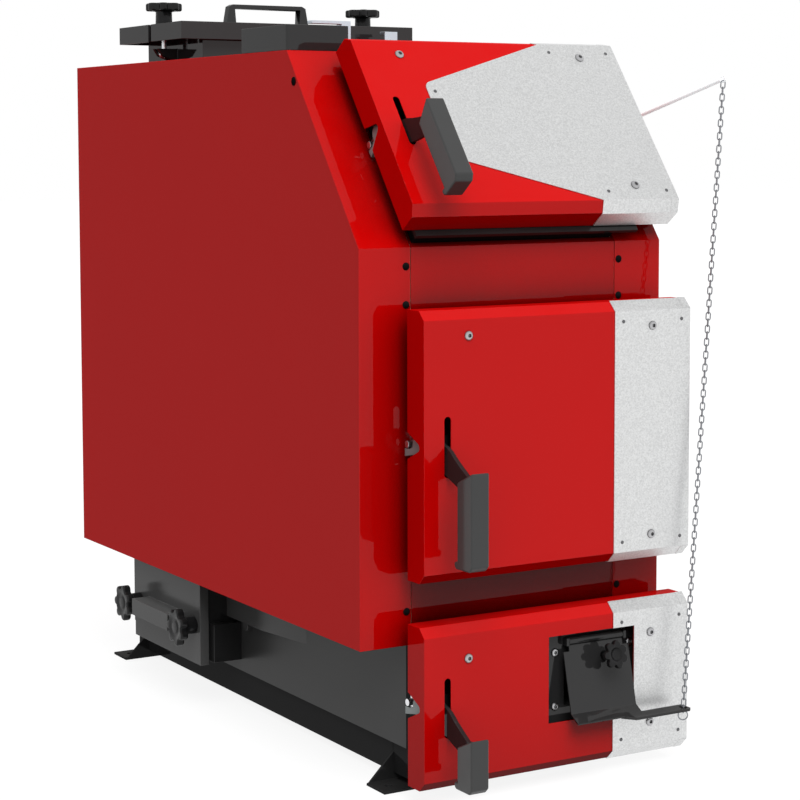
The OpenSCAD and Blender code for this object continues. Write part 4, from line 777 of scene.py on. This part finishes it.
class BOILER_OT_drive_door_screws(bpy.types.Operator):
    """Builds the doors' plated screws as domes with a six-sided socket, and their rivets as domes"""
    bl_idname = "boiler.drive_door_screws"
    bl_label = "Door screws"

    def execute(self, context):
        # painted shade darkens the screw heads in a ring where they meet the plate
        zinc = zinc_finish("screw_zinc", (0.46, 0.46, 0.47), 1.0, 0.1)
        dull = zinc_finish("rivet_zinc", (0.13, 0.13, 0.135), 0.6)
        widest_rivet, rivet_reach = 8*MM, 6*MM
        for door in DOORS:
            node = door + "_door_screws"
            heads = solids(node)
            outward = door_axes(door)[1]
            piece = mesh_piece(node + "_plated", *merged([self.dome(head, outward) for head in heads]))
            settle(piece, node, zinc)
            piece.data.materials.append(dull)
            rivets = [Vector((head.min(axis=0) + head.max(axis=0))/2) for head in heads
                      if np.ptp(head[:, 0]) < widest_rivet]
            for face in piece.data.polygons:
                near = [rivet for rivet in rivets if (face.center - rivet).length < rivet_reach]
                face.material_index = int(bool(near))
        return {"FINISHED"}

    def dome(self, solid, outward):
        """Profile of a round head over its shank. In a large head the inner rings follow a hexagon
        down into a socket: a hexagon's edge is its inner radius over the cosine from the flat."""
        along = solid @ outward
        low, high = along.min(), along.max()
        middle = (solid.min(axis=0) + solid.max(axis=0))/2
        middle = middle + outward*(high - middle @ outward)
        across = (solid - middle) - np.outer((solid - middle) @ outward, outward)
        far = np.linalg.norm(across, axis=1)
        full = far.max()
        near_top = along > high - 0.8*full
        rise = high - along[near_top & (far > 0.93*full)].min()
        sides, large = 48, full > 4*MM
        angles = np.linspace(0, TURN, sides, endpoint=False)
        hexagon = 1/np.cos((angles + TURN/12) % (TURN/6) - TURN/12)
        even = np.ones(sides)
        rings = [(0.4*full, low - high, even), (0.4*full, -rise, even), (full, -rise, even)]
        steps = np.linspace(0.12, 0.8 if large else 0.97, 7)
        rings += [(full*math.sqrt(1 - s*s), -rise*(1 - s)*0.999, even) for s in steps]
        if large:
            socket = 0.36*full
            rings += [(socket*1.08, -0.12*rise, hexagon), (socket, -0.2*rise, hexagon),
                      (socket, -0.75*rise, hexagon), (0.02*full, -0.8*rise, even)]
        else:
            rings += [(0.02*full, 0, even)]
        radius = np.array([r*shape for r, h, shape in rings])
        places = turned(radius, [h for r, h, shape in rings], middle, outward)
        return places, grid_faces(len(rings), sides, False, True)


class BOILER_OT_link_chain(bpy.types.Operator):
    """Builds the chain's links as round wire bent to ovals, and finishes the regulator's arm"""
    bl_idname = "boiler.link_chain"
    bl_label = "Chain and arm"
    twist: bpy.props.FloatProperty(
        name="Twist", description="Turn of the links about the chain, in degrees", default=-30)
    widen: bpy.props.FloatProperty(
        name="Widen", description="Width of a link over the solid link's", min=1, max=1.5, default=1.2)

    def execute(self, context):
        zinc = zinc_finish("chain_zinc", (0.27, 0.28, 0.3), 0.9)
        links = solids("chain")
        middles = np.array([(solid.min(axis=0) + solid.max(axis=0))/2 for solid in links])
        top, bottom = middles[middles[:, 2].argmax()], middles[middles[:, 2].argmin()]
        turn = np.array(Matrix.Rotation(math.radians(self.twist), 3, Vector(top - bottom)))
        places, faces = merged([self.link((solid - top) @ turn.T + top) for solid in links])
        settle(mesh_piece("chain_links", places, faces), "chain", zinc)
        rounded_piece("regulator_arm", self.pale_lacquer_with_glow(), 0.2*MM)
        return {"FINISHED"}

    def pale_lacquer_with_glow(self):
        """Pale lacquer on the thin arm with a faint glow, painted light that keeps it pale where the door shades
        it.
        """
        # the emission is painted light: a faint glow over the whole arm
        finish = Finish("arm_lacquer_glow", Roughness=0.5, Emission_Color=(0.85, 0.95, 0.97, 1),
                        Emission_Strength=0.4)
        ripple = finish.effect(ripple_group, Scale=90.0, Tone_Spread=0.06)
        return finish.based(finish.toned((0.92, 0.88, 0.89), ripple.outputs["Tone"])).material

    def link(self, solid, turns=24, sides=10):
        """A link's middle line is an oval of two half circles and two straights. Its directions are
        those in which the solid spreads most and least, and its sizes are the solid's own reach."""
        middle = (solid.min(axis=0) + solid.max(axis=0))/2
        spread, directions = np.linalg.eigh(np.cov((solid - middle).T))
        local = (solid - middle) @ directions
        thin, wide, long = directions.T
        wire, half_width, half_length = np.abs(local).max(axis=0)
        middle = middle + (local.min(axis=0) + local.max(axis=0)) @ directions.T/2
        half_width *= self.widen
        bend = half_width - wire
        straight = max(half_length - half_width, 0)
        angle = np.linspace(0, TURN, turns, endpoint=False) + TURN/turns/2
        path = (middle + np.outer(bend*np.cos(angle), wide)
                + np.outer(bend*np.sin(angle) + straight*np.sign(np.sin(angle)), long))
        places = tube(path, wire, sides, thin)
        return places, grid_faces(turns, sides, True, True)


class BOILER_OT_lay_rope_seals(bpy.types.Operator):
    """Lays a round twisted rope seal round each door's leaf"""
    bl_idname = "boiler.lay_rope_seals"
    bl_label = "Rope seals"

    def execute(self, context):
        rope = fibre_finish("ceramic_rope", (0.7, 0.68, 0.62), 150.0, 0.4, 0.0006, 0.7)
        for door in DOORS:
            self.seal(door, rope)
        return {"FINISHED"}

    def seal(self, door, rope):
        """Rope along a rectangle with round corners, flattened by its seat. Its strands swell the
        radius by a wave that runs round and along it."""
        strands = bpy.context.scene.boiler_sizes.seal_thickness
        node = door + "_door_gasket"
        axes = door_axes(door)[[0, 2, 1]]
        local = vertex_places(frame["nodes"][node].data) @ axes.T
        low, high = local.min(axis=0), local.max(axis=0)
        middle, half = (low + high)/2, (high - low)/2
        width, corner, count, sides = 14*MM, 12*MM, 360, 24
        hx, hz = half[0] - width/2, half[1] - width/2
        centres = [(hx - corner, hz - corner, 0), (-hx + corner, hz - corner, 90),
                   (-hx + corner, -hz + corner, 180), (hx - corner, -hz + corner, 270)]
        outline = np.concatenate([arc((x, z), corner, start, start + 90, 9) for x, z, start in centres])
        closed = np.concatenate([outline, outline[:1]])
        legs = np.linalg.norm(np.diff(closed, axis=0), axis=1)
        travel = np.concatenate([[0], np.cumsum(legs)])
        at = np.linspace(0, travel[-1], count, endpoint=False)
        line = np.stack([np.interp(at, travel, closed[:, 0]), np.interp(at, travel, closed[:, 1])], axis=1)
        ahead = headings(line)
        outward = np.stack([ahead[:, 1], -ahead[:, 0]], axis=1)
        angle = np.linspace(0, TURN, sides, endpoint=False)
        twist = np.cos(3*angle[None, :] + at[:, None]/(4*MM))*strands
        swell = (1 - strands + twist)*width/2
        beside = line[:, None, :] + outward[:, None, :]*(swell*np.cos(angle))[:, :, None]
        through = swell*np.sin(angle)*(half[2]/(width/2))
        flat = np.concatenate([beside, through[:, :, None]], axis=2).reshape(-1, 3) + middle
        piece = mesh_piece(node + "_rope", flat @ axes, grid_faces(count, sides, True, True).tolist())
        settle(piece, node, rope)


class BOILER_OT_paint_ironwork(bpy.types.Operator):
    """Paints the body, frames, hatches, feet, flue and flap, and rounds their plate edges"""
    bl_idname = "boiler.paint_ironwork"
    bl_label = "Painted ironwork"

    def execute(self, context):
        sizes = context.scene.boiler_sizes
        coats = context.scene.boiler_coats
        paint = iron_paint_finish("heat_paint", coats.iron_paint)
        feet = iron_paint_finish("frame_paint", coats.frame_paint, 0.06)
        deep = iron_paint_finish("deep_paint", coats.knob, 0.06, 0.02)
        # the side hatch lid and air duct take the body paint lightened 1.7 times, under a hazier gloss
        lighter_body = iron_paint_finish("lighter_body_paint", [1.7*tone for tone in coats.body_paint], 0.28, haze=0.2)
        hatches = ("top_hatch_neck", "top_lid", "lid_handle", "top_cover_box", "side_hatch_neck",
                   "flap_frame", "air_flap")
        for nodes, material in ((("base_frame",), feet), (hatches, paint), (("door_collars",), deep),
                                (("side_hatch_lid", "air_duct"), lighter_body)):
            for node in nodes:
                rounded_piece(node, material, sizes.iron_round)
        coat("boiler_body", iron_paint_finish("body_paint", coats.body_paint, 0.25, haze=0.3))
        for node in ("hinge_brackets", "flue_collar", "flue_damper", "pipe_sockets",
                     *(door + "_door_leaf" for door in DOORS)):
            coat(node, paint)
        return {"FINISHED"}


class BOILER_OT_finish_fittings(bpy.types.Operator):
    """Finishes the plated fittings and the draught regulator"""
    bl_idname = "boiler.finish_fittings"
    bl_label = "Plated fittings"

    def execute(self, context):
        zinc = zinc_finish()
        for node in ("door_keepers", "swing_bolts", "regulator_body"):
            rounded_piece(node, zinc, 0.4*MM)
        rounded_piece("top_brackets", zinc_finish("bracket_zinc", (0.58, 0.64, 0.7), 0.95), 0.4*MM)
        dial = moulded_finish("dial_plastic", context.scene.boiler_coats.knob, 0.4, 900.0)
        rounded_piece("regulator_dial", dial, 0.8*MM, 3)
        return {"FINISHED"}


class BOILER_OT_finish_firebox(bpy.types.Operator):
    """Gives the bricks, bars, pan, exchanger and wool inside the boiler their surfaces"""
    bl_idname = "boiler.finish_firebox"
    bl_label = "Firebox"

    def execute(self, context):
        coat("firebricks", firebrick_finish())
        coat("grate_bars", Finish("cast_bars", Metallic=0.4).grained(
            (0.07, 0.065, 0.06), (420.0, 0.6, 0.3), (40.0, 0.6), (0.6, 0.85), (0.0006, 0.8),
            ((0.35, 0.33, 0.3), 0.5)))
        steel = Finish("boiler_plate", Metallic=0.75).grained(
            (0.2, 0.2, 0.21), (300.0, 0.8, 0.3), (12.0, 0.5), (0.4, 0.75), (0.0001, 0.6),
            ((0.16, 0.1, 0.06), 0.5))
        for node in ("ash_pan", "heat_exchanger"):
            coat(node, steel)
        coat("insulation", fibre_finish("mineral_wool", (0.56, 0.5, 0.33), 60.0, 0.3, 0.002, 0.8))
        return {"FINISHED"}


class BOILER_OT_set_studio(bpy.types.Operator):
    """Sets the pale floor, the soft lamps, the even sky and the camera"""
    bl_idname = "boiler.set_studio"
    bl_label = "Studio"

    def execute(self, context):
        studio = context.scene.boiler_studio
        self.floor()
        self.sky(context.scene, studio.sky)
        self.lamp(studio)
        self.camera(context.scene, studio)
        context.scene.view_settings.view_transform = "Standard"
        return {"FINISHED"}

    def floor(self):
        """Pale floor. The camera sees it almost white with the object's soft shadow; to the light
        that bounces it is darker, so that the undersides stay deep."""
        mesh = bpy.data.meshes.new("studio_floor")
        half = 30.0
        mesh.from_pydata([(-half, -half, 0), (half, -half, 0), (half, half, 0), (-half, half, 0)], [],
                         [(0, 1, 2, 3)])
        floor = bpy.data.objects.new("studio_floor", mesh)
        bpy.context.scene.collection.objects.link(floor)
        floor.visible_glossy = False
        material = bpy.data.materials.new("pale_floor")
        material.use_nodes = True
        tree = material.node_tree
        tree.nodes.clear()
        bounce = add_node(tree, "BsdfDiffuse", Color=(0.14, 0.14, 0.14, 1))
        cast = add_node(tree, "BsdfDiffuse", Color=(0.8, 0.8, 0.8, 1))
        glow = add_node(tree, "Emission", Color=(1, 1, 1, 1), Strength=1.1)
        path = add_node(tree, "LightPath").outputs
        seen = math_node(tree, "MAXIMUM", path["Is Camera Ray"], path["Is Transmission Ray"])
        pale = blend(tree, "MixShader", (0, 1, 2), (0.8, cast.outputs[0], glow.outputs[0]))
        choice = blend(tree, "MixShader", (0, 1, 2), (seen, bounce.outputs[0], pale))
        add_node(tree, "OutputMaterial", Surface=choice)
        mesh.materials.append(material)

    def sky(self, scene, strength):
        """White all round to the camera. Reflections find it white too, a little brighter low
        down, and the soft light is weaker from the left."""
        world = bpy.data.worlds.new("even_sky")
        scene.world = world
        world.use_nodes = True
        tree = world.node_tree
        background = tree.nodes["Background"]
        background.inputs["Color"].default_value = (1, 1, 1, 1)
        way = add_node(tree, "SeparateXYZ", Vector=add_node(tree, "TexCoord").outputs["Generated"]).outputs
        left_share = remap(tree, way["X"], -1.0, 0.1, 0.62, 1.0)
        soft = math_node(tree, "MULTIPLY", left_share, strength)
        mirrored = remap(tree, way["Z"], -0.1, 0.6, 1.12, 0.97)
        path = add_node(tree, "LightPath").outputs
        gloss = math_node(tree, "MAXIMUM", path["Is Glossy Ray"], path["Is Transmission Ray"])
        light = blend(tree, "Mix", (0, 2, 3), (gloss, soft, mirrored))
        seen = blend(tree, "Mix", (0, 2, 3), (path["Is Camera Ray"], light, 1.0))
        tree.links.new(seen, background.inputs["Strength"])

    def lamp(self, studio):
        light = bpy.data.lights.new("key_lamp", "SUN")
        light.energy = studio.key
        light.angle = studio.key_spread
        lamp = bpy.data.objects.new("key_lamp", light)
        bpy.context.scene.collection.objects.link(lamp)
        lamp.location = LAMP_PLACE
        lamp.rotation_euler = Vector(LAMP_AIM).to_track_quat("-Z", "Y").to_euler()
        lamp.visible_glossy = False

    def camera(self, scene, studio):
        data = bpy.data.cameras.new("studio_camera")
        data.lens = studio.lens
        data.sensor_width = 36
        data.shift_y = -0.1
        data.clip_end = 60
        data.dof.use_dof = False
        camera = bpy.data.objects.new("studio_camera", data)
        scene.collection.objects.link(camera)
        turn = Matrix.Rotation(-studio.azimuth, 4, "Z") @ Matrix.Rotation(math.pi/2 - studio.pitch, 4, "X")
        roll = Matrix.Rotation(CAMERA_ROLL, 4, "Z")
        camera.matrix_world = Matrix.Translation(CAMERA_PLACE) @ turn @ roll
        scene.camera = camera


class BOILER_PT_looks(bpy.types.Panel):
    """Lists the boiler's sizes, coats and building steps"""
    bl_label = "Boiler"
    bl_idname = "BOILER_PT_looks"
    bl_space_type = "VIEW_3D"
    bl_region_type = "UI"
    bl_category = "Boiler"

    def draw(self, context):
        for name in GROUPS:
            group = getattr(context.scene, name)
            box = self.layout.box()
            for key in group.__annotations__:
                box.prop(group, key)
        for operator in STEPS:
            self.layout.operator(operator.bl_idname)


GROUPS = {"boiler_coats": BoilerCoats, "boiler_sizes": BoilerSizes, "boiler_studio": BoilerStudio}
STEPS = (BOILER_OT_coat_casing, BOILER_OT_fit_cover_plates, BOILER_OT_mould_grips,
         BOILER_OT_turn_star_knobs, BOILER_OT_drive_door_screws, BOILER_OT_link_chain,
         BOILER_OT_lay_rope_seals, BOILER_OT_paint_ironwork,
         BOILER_OT_finish_fittings, BOILER_OT_finish_firebox, BOILER_OT_set_studio)


def register():
    for kind in (*GROUPS.values(), *STEPS, BOILER_PT_looks):
        bpy.utils.register_class(kind)
    for name, kind in GROUPS.items():
        setattr(bpy.types.Scene, name, bpy.props.PointerProperty(type=kind))


def unregister():
    for name in GROUPS:
        delattr(bpy.types.Scene, name)
    for kind in reversed((*GROUPS.values(), *STEPS, BOILER_PT_looks)):
        bpy.utils.unregister_class(kind)


def main():
    register()
    for operator in STEPS:
        family, name = operator.bl_idname.split(".")
        getattr(getattr(bpy.ops, family), name)()


if __name__ == "__main__":
    main()
